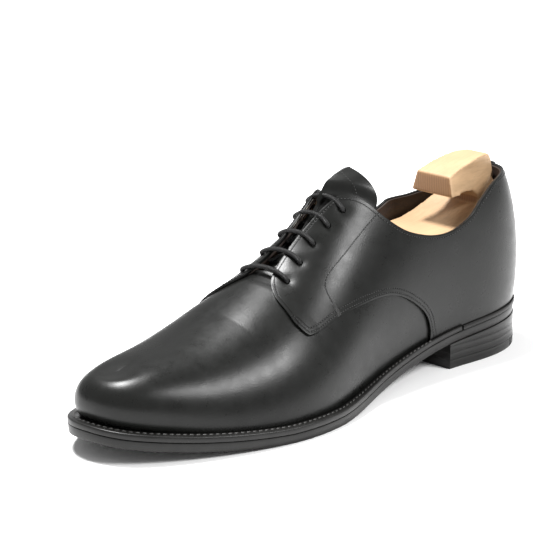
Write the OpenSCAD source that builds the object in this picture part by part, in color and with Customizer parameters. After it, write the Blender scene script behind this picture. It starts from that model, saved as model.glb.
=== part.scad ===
// Left derby shoe, Goodyear welted, with a sprung wooden shoe tree inside.
// Frame: +Z up, toe towards -X, outer side of the foot towards -Y.
// The origin is the middle of the bounding box, on the ground.

/* [Last] */
// Length of the sole from the back of the heel to the toe
sole_length = 304; // [260:1:370]
// Width of the upper across the ball of the foot, at the welt
ball_width = 92; // [76:1:112]
// Width of the upper across the heel, at the welt
heel_width = 58; // [48:1:70]
// Height of the toe box above the insole
toe_height = 22; // [18:0.5:27]
// Height of the instep above the insole, at the top of the lacing
instep_height = 90.5; // [76:0.5:108]
// How far the toe rises off the ground
toe_spring = 10.5; // [7:0.5:14]

/* [Bottom] */
// Height of the outsole's underside at the back of the heel
heel_height = 19.5; // [16:0.5:24]
// Thickness of the outsole
outsole_thickness = 5.2; // [4:0.1:7]
// Thickness of the welt
welt_thickness = 3.2; // [2.5:0.1:4]
// How far the sole edge stands out from the upper round the toe
welt_width = 6.5; // [5:0.1:8]
// How far the sole edge stands out from the upper at the heel
seat_width = 2.2; // [1.5:0.1:3]
// Thickness of the insole
insole_thickness = 2.4; // [2:0.1:3.2]
// Thickness of the top piece that meets the ground
top_piece_thickness = 5; // [4:0.1:6]
// Width of the steel shank
shank_width = 12; // [9:0.5:15]

/* [Upper] */
// Thickness of the upper leather
upper_thickness = 1.4; // [1.1:0.1:1.8]
// Thickness of the lining leather
lining_thickness = 1.1; // [0.8:0.1:1.3]
// Thickness of the toe puff and the heel counter
stiffener_thickness = 1; // [0.8:0.1:1.2]
// Gap left between layers of leather
layer_gap = 0.15; // [0.1:0.01:0.2]
// Diameter of a punched eyelet hole
eyelet_diameter = 3.4; // [2.8:0.1:4.1]
// Diameter of the round waxed lace
lace_diameter = 2.4; // [2:0.1:2.9]

/* [Shoe tree] */
// Gap between the wooden blocks and the lining
tree_gap = 2.4; // [1.9:0.1:3.2]
// Width of the hook handle at its front
handle_width = 24; // [20:0.5:29]
// Outer diameter of the steel tube
tube_diameter = 8; // [7:0.1:9.6]
// Diameter of the sliding rod
rod_diameter = 6; // [5:0.1:6.2]
// Diameter of the hinge pin in the heel block
pin_diameter = 4; // [3.4:0.1:4.8]
// How far the heel block can be pushed towards the toe
tree_travel = 12; // [10:0.5:14]
// How far each toe half can be squeezed inwards
squeeze_travel = 3; // [2.5:0.1:3.6]

/* [Hidden] */

// The pattern last was drawn 304 mm long, 92 mm wide at the ball and 58 mm at the heel.
pattern_length = 304;
pattern_ball = 92;
pattern_heel = 58;
// Stations run from 0 at the toe tip to 11 at the back of the heel.
last_station = 11;
// Feather line of each side: distance from the back of the heel, distance from the middle
LATERAL = [[297, 7], [291, -10], [272, -25], [243, -38], [205, -46.5], [170, -43.5],
    [135, -34], [100, -29], [68, -28.5], [38, -29.5], [13, -20.5], [4, 0]];
MEDIAL = [[297, 7], [293, 21], [276, 33], [250, 42], [218, 45.5], [182, 38.5],
    [140, 27.5], [100, 25], [68, 27], [38, 28.5], [13, 20.5], [4, 0]];
// Ridge over the foot: distance from the back of the heel, distance from the middle
RIDGE = [[280, 6], [277, 6], [265, 5.5], [240, 5], [210, 4.5], [182, 4.5],
    [158, 4], [138, 4], [114, 2], [90, 0], [66, 0], [54, 0]];
// Rise of the ridge from the toe box, 0, to the top of the lacing, 1
RIDGE_RISE = [0, 0.036, 0.124, 0.245, 0.425, 0.6, 0.81, 1, 1.05, 1.06, 1.05, 1.045];
// Underside of the outsole: share of the toe spring, then share of the heel height
SPRING_SHARE = [1, 0.86, 0.57, 0.24, 0, 0, 0, 0, 0, 0, 0, 0];
HEEL_SHARE = [0, 0, 0, 0, 0, 0.05, 0.27, 0.56, 0.77, 0.9, 0.97, 1];
// Roundness of the section, from square, 0, to elliptical, 1
ROUNDNESS = [0.6, 0.62, 0.74, 0.9, 0.95, 0.95, 0.85, 0.7, 0.55, 0.5, 0.5, 0.5];
// How far the side swells out over the feather line
SWELL = [4.5, 4.2, 2.2, 0.5, 0.5, 1, 2, 3, 3.5, 3.5, 3.5, 3.5];
// Share of the full welt width, from the toe to the heel
WELT_SHARE = [1, 1, 1, 1, 0.95, 0.75, 0.45, 0.2, 0, 0, 0, 0];

// Seams and edges, as pairs of station and height up the section
QUARTER_LOW = [[4.42, 0.52], [4.48, 0.473], [5.2, 0.43], [5.87, 0.364], [6.4, 0.295],
    [6.83, 0.202], [7.19, 0.096], [7.31, 0.015]];
QUARTER_HIGH = [[4.42, 0.648], [4.49, 0.744], [4.59, 0.813], [4.7, 0.859], [4.83, 0.896],
    [5.32, 0.94], [5.75, 0.95], [6.14, 0.94], [6.52, 0.919], [6.69, 0.9], [6.74, 0.859],
    [6.78, 0.78], [6.81, 0.652], [6.89, 0.577], [7.04, 0.503], [7.42, 0.427],
    [7.91, 0.396], [8.45, 0.426], [8.89, 0.491], [9.48, 0.548], [11, 0.55]];
VAMP_HIGH = [[4.81, 0.84], [4.83, 0.72], [4.87, 0.61], [4.97, 0.54], [5.1, 0.5], [5.2, 0.5],
    [5.87, 0.44], [6.4, 0.37], [6.83, 0.28], [7.19, 0.18], [7.6, 0.1]];
// How much lower the topline dips on the medial side of the opening
MEDIAL_DIP = [[8.2, 0], [8.45, 0.008], [8.89, 0.086], [9.2, 0.122], [9.48, 0.136], [10, 0.092],
    [10.4, 0.045], [10.8, 0.01], [11, 0]];
LINING_HIGH = [[4.71, 0.88], [4.73, 0.78], [4.78, 0.7], [4.9, 0.66], [5.02, 0.66]];
EYELETS = [[4.92, 0.805], [5.33, 0.827], [5.73, 0.842], [6.12, 0.838], [6.47, 0.825]];
throat_station = 4.8;
quarter_front = 4.42;
wing_end = 7.6;
// Stations at which the quarter turns down to the feather line
quarter_foot = 7.33;
welt_end = 8.1;
breast_station = 7.8;

// Layers of the upper, measured outwards from the vamp's grain side
vamp_in = -upper_thickness;
puff_out = vamp_in - layer_gap;
puff_in = puff_out - stiffener_thickness;
vamp_lining_out = puff_in - layer_gap;
quarter_in = layer_gap;
quarter_out = quarter_in + upper_thickness;
counter_out = -layer_gap;
counter_in = counter_out - stiffener_thickness;
stay_out = -layer_gap;
stay_thickness = 0.4;
facing_lining_out = stay_out - stay_thickness - layer_gap;
deep_lining_out = min(vamp_in, counter_in) - layer_gap;
lining_in = deep_lining_out - lining_thickness;
eyelet_flange = 0.35;
tongue_thickness = 1.4;
tongue_out = facing_lining_out - lining_thickness - eyelet_flange - lace_diameter - 1.7;
tongue_tip_out = -layer_gap;
tongue_start = 4.62;
tongue_split = 7;
tongue_joint_gap = 0.03;
tongue_end = 7.56;
tongue_edge = 0.77;
strip_low = 0.36;
strip_high = 0.54;
strip_stand = 1.05;
skirt = welt_thickness - 0.15;

length_grade = sole_length / pattern_length;
ball_grade = ball_width / pattern_ball;
heel_grade = heel_width / pattern_heel;
edge_thickness = outsole_thickness + welt_thickness;
plate_gap = 0.1;
step = 0.002;

leather = [0.05, 0.05, 0.05];
lining_colour = [0.16, 0.1, 0.07];
sole_colour = [0.06, 0.05, 0.045];
beech = [0.86, 0.66, 0.42];
steel = [0.7, 0.7, 0.72];

// ---- Last surface ----
function blend4(a, b, c, d, f) =
    0.5 * (2 * b + (c - a) * f + (2 * a - 5 * b + 4 * c - d) * f * f
    + (3 * b - a - 3 * c + d) * f * f * f);
function wrap(u) = u - 2 * last_station * floor((u + last_station) / (2 * last_station));
// Value at a station, from a table that is mirrored past the toe and past the heel
function along(table, u) = let(
    q = min(abs(wrap(u)), last_station - 0.000001), i = floor(q))
    blend4(table[abs(i - 1)], table[i], table[i + 1],
        table[i + 2 > last_station ? last_station - 1 : i + 2], q - i);
function side_point(k) = let(w = wrap(k)) w < 0 ? LATERAL[-w] : MEDIAL[w];
function smooth(x) = let(t = max(0, min(1, x))) t * t * (3 - 2 * t);
function width_grade(q) = ball_grade + (heel_grade - ball_grade) * smooth((q - 5) / 2.5);
function sole_low(u) = max(0, toe_spring * along(SPRING_SHARE, u)
    + heel_height * along(HEEL_SHARE, u) - 0.35);
function feather_z(u) = sole_low(u) + edge_thickness;
// Feather line before it is centred, from the back of the heel
function pattern_feather(u) = let(i = floor(u),
    p = blend4(side_point(i - 1), side_point(i), side_point(i + 1), side_point(i + 2), u - i))
    [-p[0] * length_grade, p[1] * width_grade(abs(wrap(u)))];
function outward(u) = let(t = pattern_feather(u + step) - pattern_feather(u - step))
    [-t[1], t[0]] / norm(t);
function sole_ext(u) = seat_width + (welt_width - seat_width) * along(WELT_SHARE, u);
function side_reach(u) = pattern_feather(u)[1] + outward(u)[1] * sole_ext(u);
// How far back the quarter, or the back strip on it, stands at height v
function back_reach(v) = -LATERAL[last_station][0] * length_grade + quarter_out
    + (v > strip_low ? strip_stand : 0) + SWELL[last_station] * sin(180 * pow(v, 0.75))
    - (RIDGE[last_station][0] - LATERAL[last_station][0]) * length_grade
    * (1 - pow(cos(90 * v), ROUNDNESS[last_station]));
side_reaches = [for (u = [3.5:0.05:4.6]) for (side = [-1, 1]) side_reach(side * u)];
toe_reach = -LATERAL[0][0] * length_grade - welt_width;
heel_reach = max([for (v = [0.1:0.02:0.5]) back_reach(v)]);
heel_x = -(toe_reach + heel_reach) / 2;
middle_y = -(max(side_reaches) + min(side_reaches)) / 2;
function feather(u) = pattern_feather(u) + [heel_x, middle_y];
function ridge(u) = let(p = along(RIDGE, u))
    [heel_x - p[0] * length_grade, p[1] * width_grade(abs(wrap(u))) + middle_y,
    feather_z(u) + toe_height + (instep_height - toe_height) * along(RIDGE_RISE, u)];
// A point of the last: u runs round the feather line, v from the feather, 0, to the ridge, 1
function last_point(u, v) = let(
    f = feather(u), r = ridge(u), h = max(v, 0),
    a = 1 - pow(max(cos(90 * h), 0), along(ROUNDNESS, u)),
    n = outward(u) * along(SWELL, u) * sin(180 * pow(h, 0.75)))
    [f[0] + (r[0] - f[0]) * a + n[0], f[1] + (r[1] - f[1]) * a + n[1],
    feather_z(u) + (r[2] - feather_z(u)) * sin(90 * h) + min(v, 0) * skirt];
function surface_normal(u, v) = let(
    h = max(0.03, min(v, 0.996)),
    du = last_point(u + step, h) - last_point(u - step, h),
    dv = last_point(u, h + step) - last_point(u, h - step), n = cross(dv, du))
    n / norm(n);
function ridge_normal(u) = let(q = max(0.05, abs(wrap(u))),
    t = ridge(q + step) - ridge(q - step)) [-t[2], 0, t[0]] / norm([t[0], t[2]]);
function layer_normal(u, v) = v >= 0.9999 ? ridge_normal(u)
    : v < 0 ? [outward(u)[0], outward(u)[1], 0] : surface_normal(u, v);
function layer_point(u, v, off) = last_point(u, v) + layer_normal(u, v) * off;
// Edge of a sole piece, ext outside the feather line
function edge_point(u, ext, z) = let(f = feather(u), n = outward(u))
    [f[0] + n[0] * ext, f[1] + n[1] * ext, z];

// ---- Mesh builders ----
function tri(a, b, c) = (a == b || b == c || c == a) ? [] : [[a, b, c]];
function quad(a, b, c, d) = concat(tri(a, b, c), tri(a, c, d));
function flat(list) = [for (part = list) for (item = part) item];
function mirrored(half) = concat([for (i = [len(half) - 1:-1:1]) -half[i]], half);

// A layer of leather over the last. span(u) gives its lowest and highest v at u, and
// skin(u, v) its inner and outer offset. It closes over the ridge where its highest v is 1.
module layer(us, rows, span, skin) {
    n = len(us) - 1;
    height = function (u, j) let(s = span(u), low = s[0], high = s[1])
        low < 0 ? (j == 0 ? low : high * (j - 1) / (rows - 1)) : low + (high - low) * j / rows;
    points = [for (side = [1, 0]) for (u = us) for (j = [0:rows])
        let(v = height(u, j)) layer_point(u, v, skin(u, v)[side])];
    column = function (i, j) (j == rows && span(us[i])[1] >= 1) ? min(i, n - i) : i;
    at = function (side, i, j) side * (n + 1) * (rows + 1) + column(i, j) * (rows + 1) + j;
    grain = [for (i = [0:n - 1]) for (j = [0:rows - 1])
        quad(at(0, i, j), at(0, i + 1, j), at(0, i + 1, j + 1), at(0, i, j + 1))];
    flesh = [for (i = [0:n - 1]) for (j = [0:rows - 1])
        quad(at(1, i, j), at(1, i, j + 1), at(1, i + 1, j + 1), at(1, i + 1, j))];
    foot = [for (i = [0:n - 1]) quad(at(0, i + 1, 0), at(0, i, 0), at(1, i, 0), at(1, i + 1, 0))];
    crown = [for (i = [0:n - 1]) if (min(span(us[i])[1], span(us[i + 1])[1]) < 1)
        quad(at(0, i, rows), at(0, i + 1, rows), at(1, i + 1, rows), at(1, i, rows))];
    first = [for (j = [0:rows - 1]) quad(at(0, 0, j), at(0, 0, j + 1), at(1, 0, j + 1), at(1, 0, j))];
    final = [for (j = [0:rows - 1]) quad(at(0, n, j + 1), at(0, n, j), at(1, n, j), at(1, n, j + 1))];
    polyhedron(points, flat(concat(grain, flesh, foot, crown, first, final)), convexity = 8);
}

// A plate of the bottom: between two stations, with its own edge and height at top and bottom
module plate(stations, ext_top, ext_low, z_top, z_low) {
    n = len(stations) - 1;
    points = [for (q = stations) for (p = [
        edge_point(-q, ext_top(q), z_top(q)), edge_point(q, ext_top(q), z_top(q)),
        edge_point(q, ext_low(q), z_low(q)), edge_point(-q, ext_low(q), z_low(q))]) p];
    // At the toe tip and the back of the heel both sides meet in one point
    tip = function (i) stations[i] == 0 || stations[i] == last_station;
    at = function (i, k) 4 * i + (tip(i) ? (k < 2 ? 0 : 3) : k);
    walls = [for (i = [0:n - 1]) for (k = [0:3])
        quad(at(i, k), at(i, (k + 1) % 4), at(i + 1, (k + 1) % 4), at(i + 1, k))];
    ends = [tip(0) ? [] : quad(at(0, 3), at(0, 2), at(0, 1), at(0, 0)),
        tip(n) ? [] : quad(at(n, 0), at(n, 1), at(n, 2), at(n, 3))];
    polyhedron(points, flat(concat(walls, ends)), convexity = 6);
}

// A bar swept through rings of points
module swept(rings) {
    n = len(rings);
    k = len(rings[0]);
    walls = [for (i = [0:n - 2]) for (j = [0:k - 1]) let(c = (j + 1) % k)
        quad(i * k + j, i * k + c, (i + 1) * k + c, (i + 1) * k + j)];
    // Each end is closed by strips from one side of the ring to the other
    ends = [for (j = [0:ceil(k / 2) - 2]) for (m = [0, (n - 1) * k]) m == 0
        ? quad(k - 1 - j, k - 2 - j, j + 1, j)
        : quad(m + j, m + j + 1, m + k - 2 - j, m + k - 1 - j)];
    polyhedron(flat(rings), flat(concat(walls, ends)), convexity = 8);
}

// A solid that fills the last between two stations, for wood
module plug(us, rows, low, high, off) {
    n = len(us) - 1;
    points = [for (u = us) for (j = [0:rows]) layer_point(u, low + (high - low) * j / rows, off)];
    column = function (i, j) (j == rows && high >= 1) ? min(i, n - i) : i;
    at = function (i, j) column(i, j) * (rows + 1) + j;
    half = floor(n / 2);
    sides = [for (i = [0:n - 1]) for (j = [0:rows - 1])
        quad(at(i, j), at(i + 1, j), at(i + 1, j + 1), at(i, j + 1))];
    floor_faces = [for (i = [0:half - 1]) let(k = n - i)
        quad(at(i, 0), at(k, 0), at(k - 1 < i + 1 ? i + 1 : k - 1, 0), at(i + 1, 0))];
    roof_faces = [for (i = [0:half - 1]) let(k = n - i)
        quad(at(i + 1, rows), at(k - 1 < i + 1 ? i + 1 : k - 1, rows), at(k, rows), at(i, rows))];
    front = [for (j = [0:rows - 1]) quad(at(0, j), at(0, j + 1), at(n, j + 1), at(n, j))];
    polyhedron(points, flat(concat(sides, floor_faces, roof_faces, front)), convexity = 6);
}

toe_stations = [0, 0.2, 0.4, 0.6, 0.8, 1, 1.25, 1.5, 1.75, 2, 2.35, 2.7, 3.1, 3.5, 3.9, 4.3, 4.7];
waist_stations = [5.1, 5.5, 5.9, 6.3, 6.7, 7.1, 7.5];
seat_stations = [7.8, 8.1, 8.5, 8.9, 9.3, 9.6, 9.9, 10.15, 10.4, 10.6, 10.8, 11];
vamp_stations = concat(toe_stations, [throat_station, 4.81, 4.83, 4.87, 4.97],
    [5.1, 5.4, 5.8, 6.2, 6.6, 7, 7.3, wing_end]);
quarter_stations = [quarter_front, 4.48, 4.6, 4.72, 4.86, 5.1, 5.35, 5.6, 5.85, 6.1, 6.35, 6.52,
    6.62, 6.69, 6.74, 6.78, 6.82, 6.9, 7.04, 7.18, 7.3, 7.36, 7.6, 7.9, 8.2, 8.5, 8.8, 9.1, 9.4,
    9.7, 10, 10.3, 10.6, 10.8, 10.985];

// ---- Bottom ----
module outsole() color(sole_colour)
    plate(concat(toe_stations, waist_stations, seat_stations),
        function (q) sole_ext(q), function (q) sole_ext(q) - 0.5,
        function (q) sole_low(q) + outsole_thickness - plate_gap, function (q) sole_low(q));

// A strip that follows the feather line from u to u, with a rectangular section
function strip_ring(u, inner, outer, low, high) = [
    edge_point(u, outer, low), edge_point(u, inner, low),
    edge_point(u, inner, high), edge_point(u, outer, high)];

// The welt lies against the vamp, and further out where the quarter comes down beside it
welt_stations = mirrored(concat(toe_stations,
    [5.1, 5.5, 5.9, 6.3, 6.7, 7.1, 7.27, 7.3, 7.5, 7.8, welt_end]));
module welt() color(sole_colour)
    swept([for (u = welt_stations) strip_ring(
        u, (abs(u) < 7.28 ? 0.1 : quarter_out) + plate_gap, sole_ext(u),
        feather_z(u) - welt_thickness, feather_z(u))]);

stitch_count = 84;
stitch_length = 3.6;
stitch_width = 0.9;
stitch_height = 0.5;
stitch_inset = 0.55;
module welt_stitches() color([0.12, 0.11, 0.1])
    for (k = [0:stitch_count - 1]) {
        u = 7.1 * (2 * (k + 0.5) / stitch_count - 1);
        n = outward(u);
        p = edge_point(u, sole_ext(u) * stitch_inset, feather_z(u) + 0.12);
        translate(p) rotate(atan2(n[1], n[0]) + 90)
            translate([-stitch_length / 2, -stitch_width / 2, 0])
                cube([stitch_length, stitch_width, stitch_height]);
    }

rand_stations = [welt_end + 0.03, 8.5, 8.8, 9.1, 9.4, 9.7, 10, 10.3, 10.6, 10.8];
module heel_rand() color(sole_colour)
    swept([for (u = concat(rand_stations, [11], past_heel(rand_stations)))
        strip_ring(u, quarter_out + 0.15, seat_width + 0.5,
            feather_z(u) - welt_thickness, feather_z(u) - 0.6)]);

heel_stack = sole_low(breast_station);
lift_low = top_piece_thickness + plate_gap;
// Two even lifts, and a wedge that takes up the rest under the outsole
lift_thickness = (heel_stack - lift_low) / 2.3;
module heel_plate(low, high, stations) plate(stations,
    function (q) seat_width, function (q) seat_width - 0.15, high, low);
module heel_lift_bottom() color(sole_colour)
    heel_plate(function (q) lift_low, function (q) lift_low + lift_thickness - plate_gap,
        seat_stations);
module heel_lift_middle() color(sole_colour)
    heel_plate(function (q) lift_low + lift_thickness,
        function (q) lift_low + 2 * lift_thickness - plate_gap, seat_stations);
module heel_lift_top() color(sole_colour)
    heel_plate(function (q) lift_low + 2 * lift_thickness,
        function (q) sole_low(q) - plate_gap,
        seat_stations);
tip_station = 9.6;
module top_piece() color(sole_colour)
    heel_plate(function (q) 0, function (q) top_piece_thickness,
        [for (q = seat_stations) if (q <= tip_station) q]);
module rubber_tip() color([0.03, 0.03, 0.03])
    heel_plate(function (q) 0, function (q) top_piece_thickness,
        concat([tip_station + 0.04], [for (q = seat_stations) if (q > tip_station) q]));

nail_diameter = 2;
nail_foot = 1.5;
nail_length = sole_low(9) + outsole_thickness / 2 - nail_foot;
module heel_nails() color("goldenrod")
    for (a = [30:60:330])
        translate([heel_x - 40 * length_grade + 20 * cos(a), middle_y + 16 * heel_grade * sin(a),
            nail_foot])
            cylinder(d = nail_diameter, h = nail_length, $fn = 24);

// The insole stops inside the lining, which lies deeper over the forepart
function inner_edge(q) = -layer_gap + (q <= 5.1 ? vamp_lining_out - lining_thickness : lining_in);
insole_top = insole_thickness / 2;
module insole() color([0.72, 0.55, 0.38])
    plate(concat(toe_stations, waist_stations, seat_stations),
        function (q) inner_edge(q), function (q) inner_edge(q),
        function (q) feather_z(q) + insole_top, function (q) feather_z(q) - insole_top);

filler_top = -insole_top - plate_gap - 0.25;
filler_low = -welt_thickness;
// Under the insole, lower where the sole rises to the toe
function under_insole(q) = feather_z(q) + filler_top - 0.08 * toe_spring * along(SPRING_SHARE, q);
module insole_rib() color([0.8, 0.72, 0.6])
    swept([for (u = mirrored(concat(toe_stations, waist_stations)))
        let(edge = inner_edge(abs(u)))
        strip_ring(u, edge - 5.5, edge - 3, feather_z(u) + filler_low, under_insole(u) - 0.35)]);

module cork_filler() color([0.6, 0.42, 0.25])
    plate([for (q = toe_stations) if (q > 0.9) q],
        function (q) inner_edge(q) - 6.5, function (q) inner_edge(q) - 6.5,
        function (q) under_insole(q), function (q) feather_z(q) + filler_low);

// The shank lies along the middle of the waist, from the heel seat to behind the ball
function waist_middle(q) = (edge_point(-q, 0, 0) + edge_point(q, 0, 0)) / 2;
module shank() color(steel)
    swept([for (q = [5, 5.4, 5.8, 6.2, 6.6, 7, 7.4, 7.8, 8.2, 8.6])
        let(m = waist_middle(q), w = shank_width / 2, z = feather_z(q))
        [[m[0], m[1] + w, z + filler_low + 0.4], [m[0], m[1] - w, z + filler_low + 0.4],
        [m[0], m[1] - w, z + filler_top - 0.1], [m[0], m[1] + w, z + filler_top - 0.1]]]);

pad_thickness = 1;
module sock_pad() color(lining_colour)
    plate(concat([7.2, 7.5], seat_stations),
        function (q) inner_edge(q) - 0.4, function (q) inner_edge(q) - 0.4,
        function (q) feather_z(q) + insole_top + plate_gap + pad_thickness,
        function (q) feather_z(q) + insole_top + plate_gap);

// ---- Upper ----
module vamp() color(leather)
    layer(mirrored(vamp_stations), 10,
        function (u) [-1, abs(u) <= throat_station ? 1 : lookup(abs(u), VAMP_HIGH)],
        function (u, v) [vamp_in, 0]);

puff_end = 2.35;
module toe_puff() color([0.75, 0.7, 0.6])
    layer(mirrored([for (q = toe_stations) if (q <= puff_end) q]), 8,
        function (u) [0, 1], function (u, v) [puff_in, puff_out]);

vamp_lining_end = 4.7;
module vamp_lining() color(lining_colour)
    layer(mirrored(concat(toe_stations, [for (p = LINING_HIGH) p[0]])), 8,
        function (u) [-1, abs(u) <= vamp_lining_end ? 1 : lookup(abs(u), LINING_HIGH)],
        function (u, v) [vamp_lining_out - lining_thickness, vamp_lining_out]);

counter_stations = [8.2, 8.5, 8.8, 9.1, 9.4, 9.7, 10, 10.3, 10.6, 10.8];
// The same stations on the other side of the back seam
function past_heel(list) = [for (i = [len(list) - 1:-1:0]) 2 * last_station - list[i]];
module heel_counter() color([0.75, 0.7, 0.6])
    layer(concat(counter_stations, [11], past_heel(counter_stations)), 6,
        function (u) [0, 0.38], function (u, v) [counter_in, counter_out]);

// A hole through the upper at eyelet k, on side -1 or 1
module eyelet_hole(k, side, diameter, low, high) {
    u = side * EYELETS[k][0];
    v = EYELETS[k][1];
    n = layer_normal(u, v);
    translate(layer_point(u, v, low))
        rotate([0, acos(n[2]), atan2(n[1], n[0])])
            cylinder(d = diameter, h = high - low, $fn = 32);
}
module eyelet_holes(side, diameter)
    for (k = [0:len(EYELETS) - 1]) eyelet_hole(k, side, diameter, -4, 4);

function side_stations(list, side) = side > 0 ? list : [for (i = [len(list) - 1:-1:0]) -list[i]];
function topline(u) = lookup(abs(u), QUARTER_HIGH) - (u > 0 ? lookup(u, MEDIAL_DIP) : 0);
function quarter_span(u) = let(q = abs(u))
    [q > quarter_foot ? -1 : lookup(q, QUARTER_LOW), topline(u)];

module quarter(side) difference() {
    layer(side_stations(quarter_stations, side), 9,
        function (u) quarter_span(u), function (u, v) [quarter_in, quarter_out]);
    eyelet_holes(side, eyelet_diameter);
}
module quarter_lateral() color(leather) quarter(-1);
module quarter_medial() color(leather) quarter(1);

// The lining lies close under the facing, and deeper where the vamp wing or counter is
lining_stations = [for (q = quarter_stations) if (q > 5.08) q];
function lining_depth(u, v) = let(q = abs(u),
    facing = smooth((v - 0.55) / 0.1) * (1 - smooth((q - 6.9) / 0.8)))
    deep_lining_out + (facing_lining_out - deep_lining_out) * facing;
module quarter_lining(side) difference() {
    layer(side_stations(lining_stations, side), 12,
        function (u) [-1, topline(u) - 0.008],
        function (u, v) let(d = lining_depth(u, v)) [d - lining_thickness, d]);
    eyelet_holes(side, eyelet_diameter + 0.8);
}
module quarter_lining_lateral() color(lining_colour) quarter_lining(-1);
module quarter_lining_medial() color(lining_colour) quarter_lining(1);

stay_stations = [5.1, 5.35, 5.6, 5.85, 6.1, 6.35, 6.55];
module facing_stay(side) difference() {
    layer(side_stations(stay_stations, side), 4,
        function (u) [0.75, 0.9], function (u, v) [stay_out - stay_thickness, stay_out]);
    eyelet_holes(side, eyelet_diameter + 0.8);
}
module facing_stay_lateral() color([0.8, 0.78, 0.7]) facing_stay(-1);
module facing_stay_medial() color([0.8, 0.78, 0.7]) facing_stay(1);

// The rearmost four rows have a hidden eyelet each, set in the lining
module hidden_eyelets() color("goldenrod")
    for (side = [-1, 1]) for (k = [1:len(EYELETS) - 1]) {
        low = facing_lining_out - lining_thickness - eyelet_flange;
        difference() {
            union() {
                eyelet_hole(k, side, eyelet_diameter + 0.6, low, facing_lining_out);
                eyelet_hole(k, side, eyelet_diameter + 2.4, low, low + eyelet_flange - 0.1);
            }
            eyelet_hole(k, side, eyelet_diameter, low - 1, facing_lining_out + 1);
        }
    }

function tongue_depth(q) = tongue_out + (tongue_tip_out - tongue_out) * smooth((q - 6.85) / 0.5)
    + (vamp_lining_out - lining_thickness - 1.2 - tongue_out)
    * (1 - smooth((q - tongue_start) / 0.22));
// Lines straight across the tongue, at its hinge and at its top
function tongue_hinge(v) = tongue_split - 1.76 * (1 - v);
function tongue_top(v) = tongue_end - 2.4 * (1 - v) - 4 * pow(1 - v, 3) / (1 - tongue_edge);
// A stretch of the tongue between two lines across it, low(v) and high(v)
module tongue_piece(low, high, rows) {
    half = 6;
    at = function (r, j, inner) let(t = j / half - 1, v = 1 - abs(t) * (1 - tongue_edge),
        q = low(v) + (high(v) - low(v)) * r / rows)
        layer_point(t < 0 ? -q : q, v, tongue_depth(q) - inner);
    swept([for (r = [0:rows]) concat([for (j = [0:2 * half]) at(r, j, 0)],
        [for (j = [2 * half:-1:0]) at(r, j, tongue_thickness)])]);
}
module tongue() color(leather)
    tongue_piece(function (v) tongue_start, function (v) tongue_hinge(v) - tongue_joint_gap, 9);
module tongue_tip() color(leather)
    tongue_piece(function (v) tongue_hinge(v) + tongue_joint_gap, function (v) tongue_top(v), 6);

module back_strip() color(leather)
    layer([10.72, 10.85, 11, 11.15, 11.28], 4, function (u) [strip_low, strip_high],
        function (u, v) [quarter_out + layer_gap, quarter_out + strip_stand]);

// ---- Lace ----
lace_sides = 8;
bar_height = quarter_out + lace_diameter / 2 + 0.25;
under_depth = facing_lining_out - lining_thickness - eyelet_flange - lace_diameter / 2 - 0.1;
function eyelet_at(k, side, off) = layer_point(side * EYELETS[k][0], EYELETS[k][1], off);
// A straight bar over the gap from the lateral to the medial eyelet k, bowed a little
function bar_points(k) = let(a = eyelet_at(k, -1, bar_height), b = eyelet_at(k, 1, bar_height),
    rise = ridge(EYELETS[k][0])[2] + quarter_out + lace_diameter * 0.75 - (a[2] + b[2]) / 2)
    concat([eyelet_at(k, -1, -0.6), eyelet_at(k, -1, 1.2), a + [0, 0.6, 0.1]],
    [for (t = [0.2, 0.35, 0.5, 0.65, 0.8])
        a + (b - a) * t + [0, 0, rise * (1 - pow(abs(2 * t - 1), 2.2))]],
    [b + [0, -0.6, 0.1], eyelet_at(k, 1, 1.2), eyelet_at(k, 1, -0.6)]);
// The slanting run under the facings from medial eyelet k to lateral eyelet k + 1
function under_points(k) = let(a = eyelet_at(k, 1, under_depth), b = eyelet_at(k + 1, -1, under_depth),
    q = (EYELETS[k][0] + EYELETS[k + 1][0]) / 2,
    rise = ridge(q)[2] + under_depth - (a[2] + b[2]) / 2)
    [for (t = [0.04, 0.3, 0.5, 0.7, 0.96])
        a + (b - a) * t + [0, 0, rise * (1 - pow(abs(2 * t - 1), 2))]];
// Each end is tucked down between the facing and the tongue
function tail_points(k, side, way, steps) = [for (d = steps) layer_point(
    side * (EYELETS[k][0] + way * 0.045 * d), EYELETS[k][1] - 0.003 * d, under_depth)];
tail_steps = [1, 5, 9, 13];
tail_steps_back = [13, 9, 5, 1];
lace_points = concat(
    tail_points(0, -1, 1, tail_steps_back),
    flat([for (k = [0:len(EYELETS) - 1])
        concat(bar_points(k), k < len(EYELETS) - 1 ? under_points(k) : [])]),
    tail_points(len(EYELETS) - 1, 1, -1, tail_steps));
function direction(list, i) = let(d = list[min(i + 1, len(list) - 1)] - list[max(i - 1, 0)])
    d / norm(d);
// A round section at each point, turned as little as the route allows
function frames(list, i = 0, side = [0, 0, 1]) = i == len(list) ? [] : let(
    d = direction(list, i), s = side - d * (side * d), a = s / norm(s))
    concat([[list[i], a, cross(d, a)]], frames(list, i + 1, a));
function tube_rings(list, radius, sides) = [for (f = frames(list))
    [for (k = [0:sides - 1]) let(a = -360 * k / sides)
        f[0] + (f[1] * cos(a) + f[2] * sin(a)) * radius]];
module lace() color([0.04, 0.04, 0.04])
    swept(tube_rings(lace_points, lace_diameter / 2, lace_sides));

tip_length = 12;
module lace_tip(point, way) {
    translate(point) rotate([0, acos(way[2]), atan2(way[1], way[0])])
        cylinder(d = lace_diameter + 0.1, h = tip_length, $fn = 24);
}
module lace_tips() color([0.03, 0.03, 0.03]) {
    n = len(lace_points) - 1;
    lace_tip(lace_points[0] - direction(lace_points, 0) * 0.05, -direction(lace_points, 0));
    lace_tip(lace_points[n] + direction(lace_points, n) * 0.05, direction(lace_points, n));
}

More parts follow.
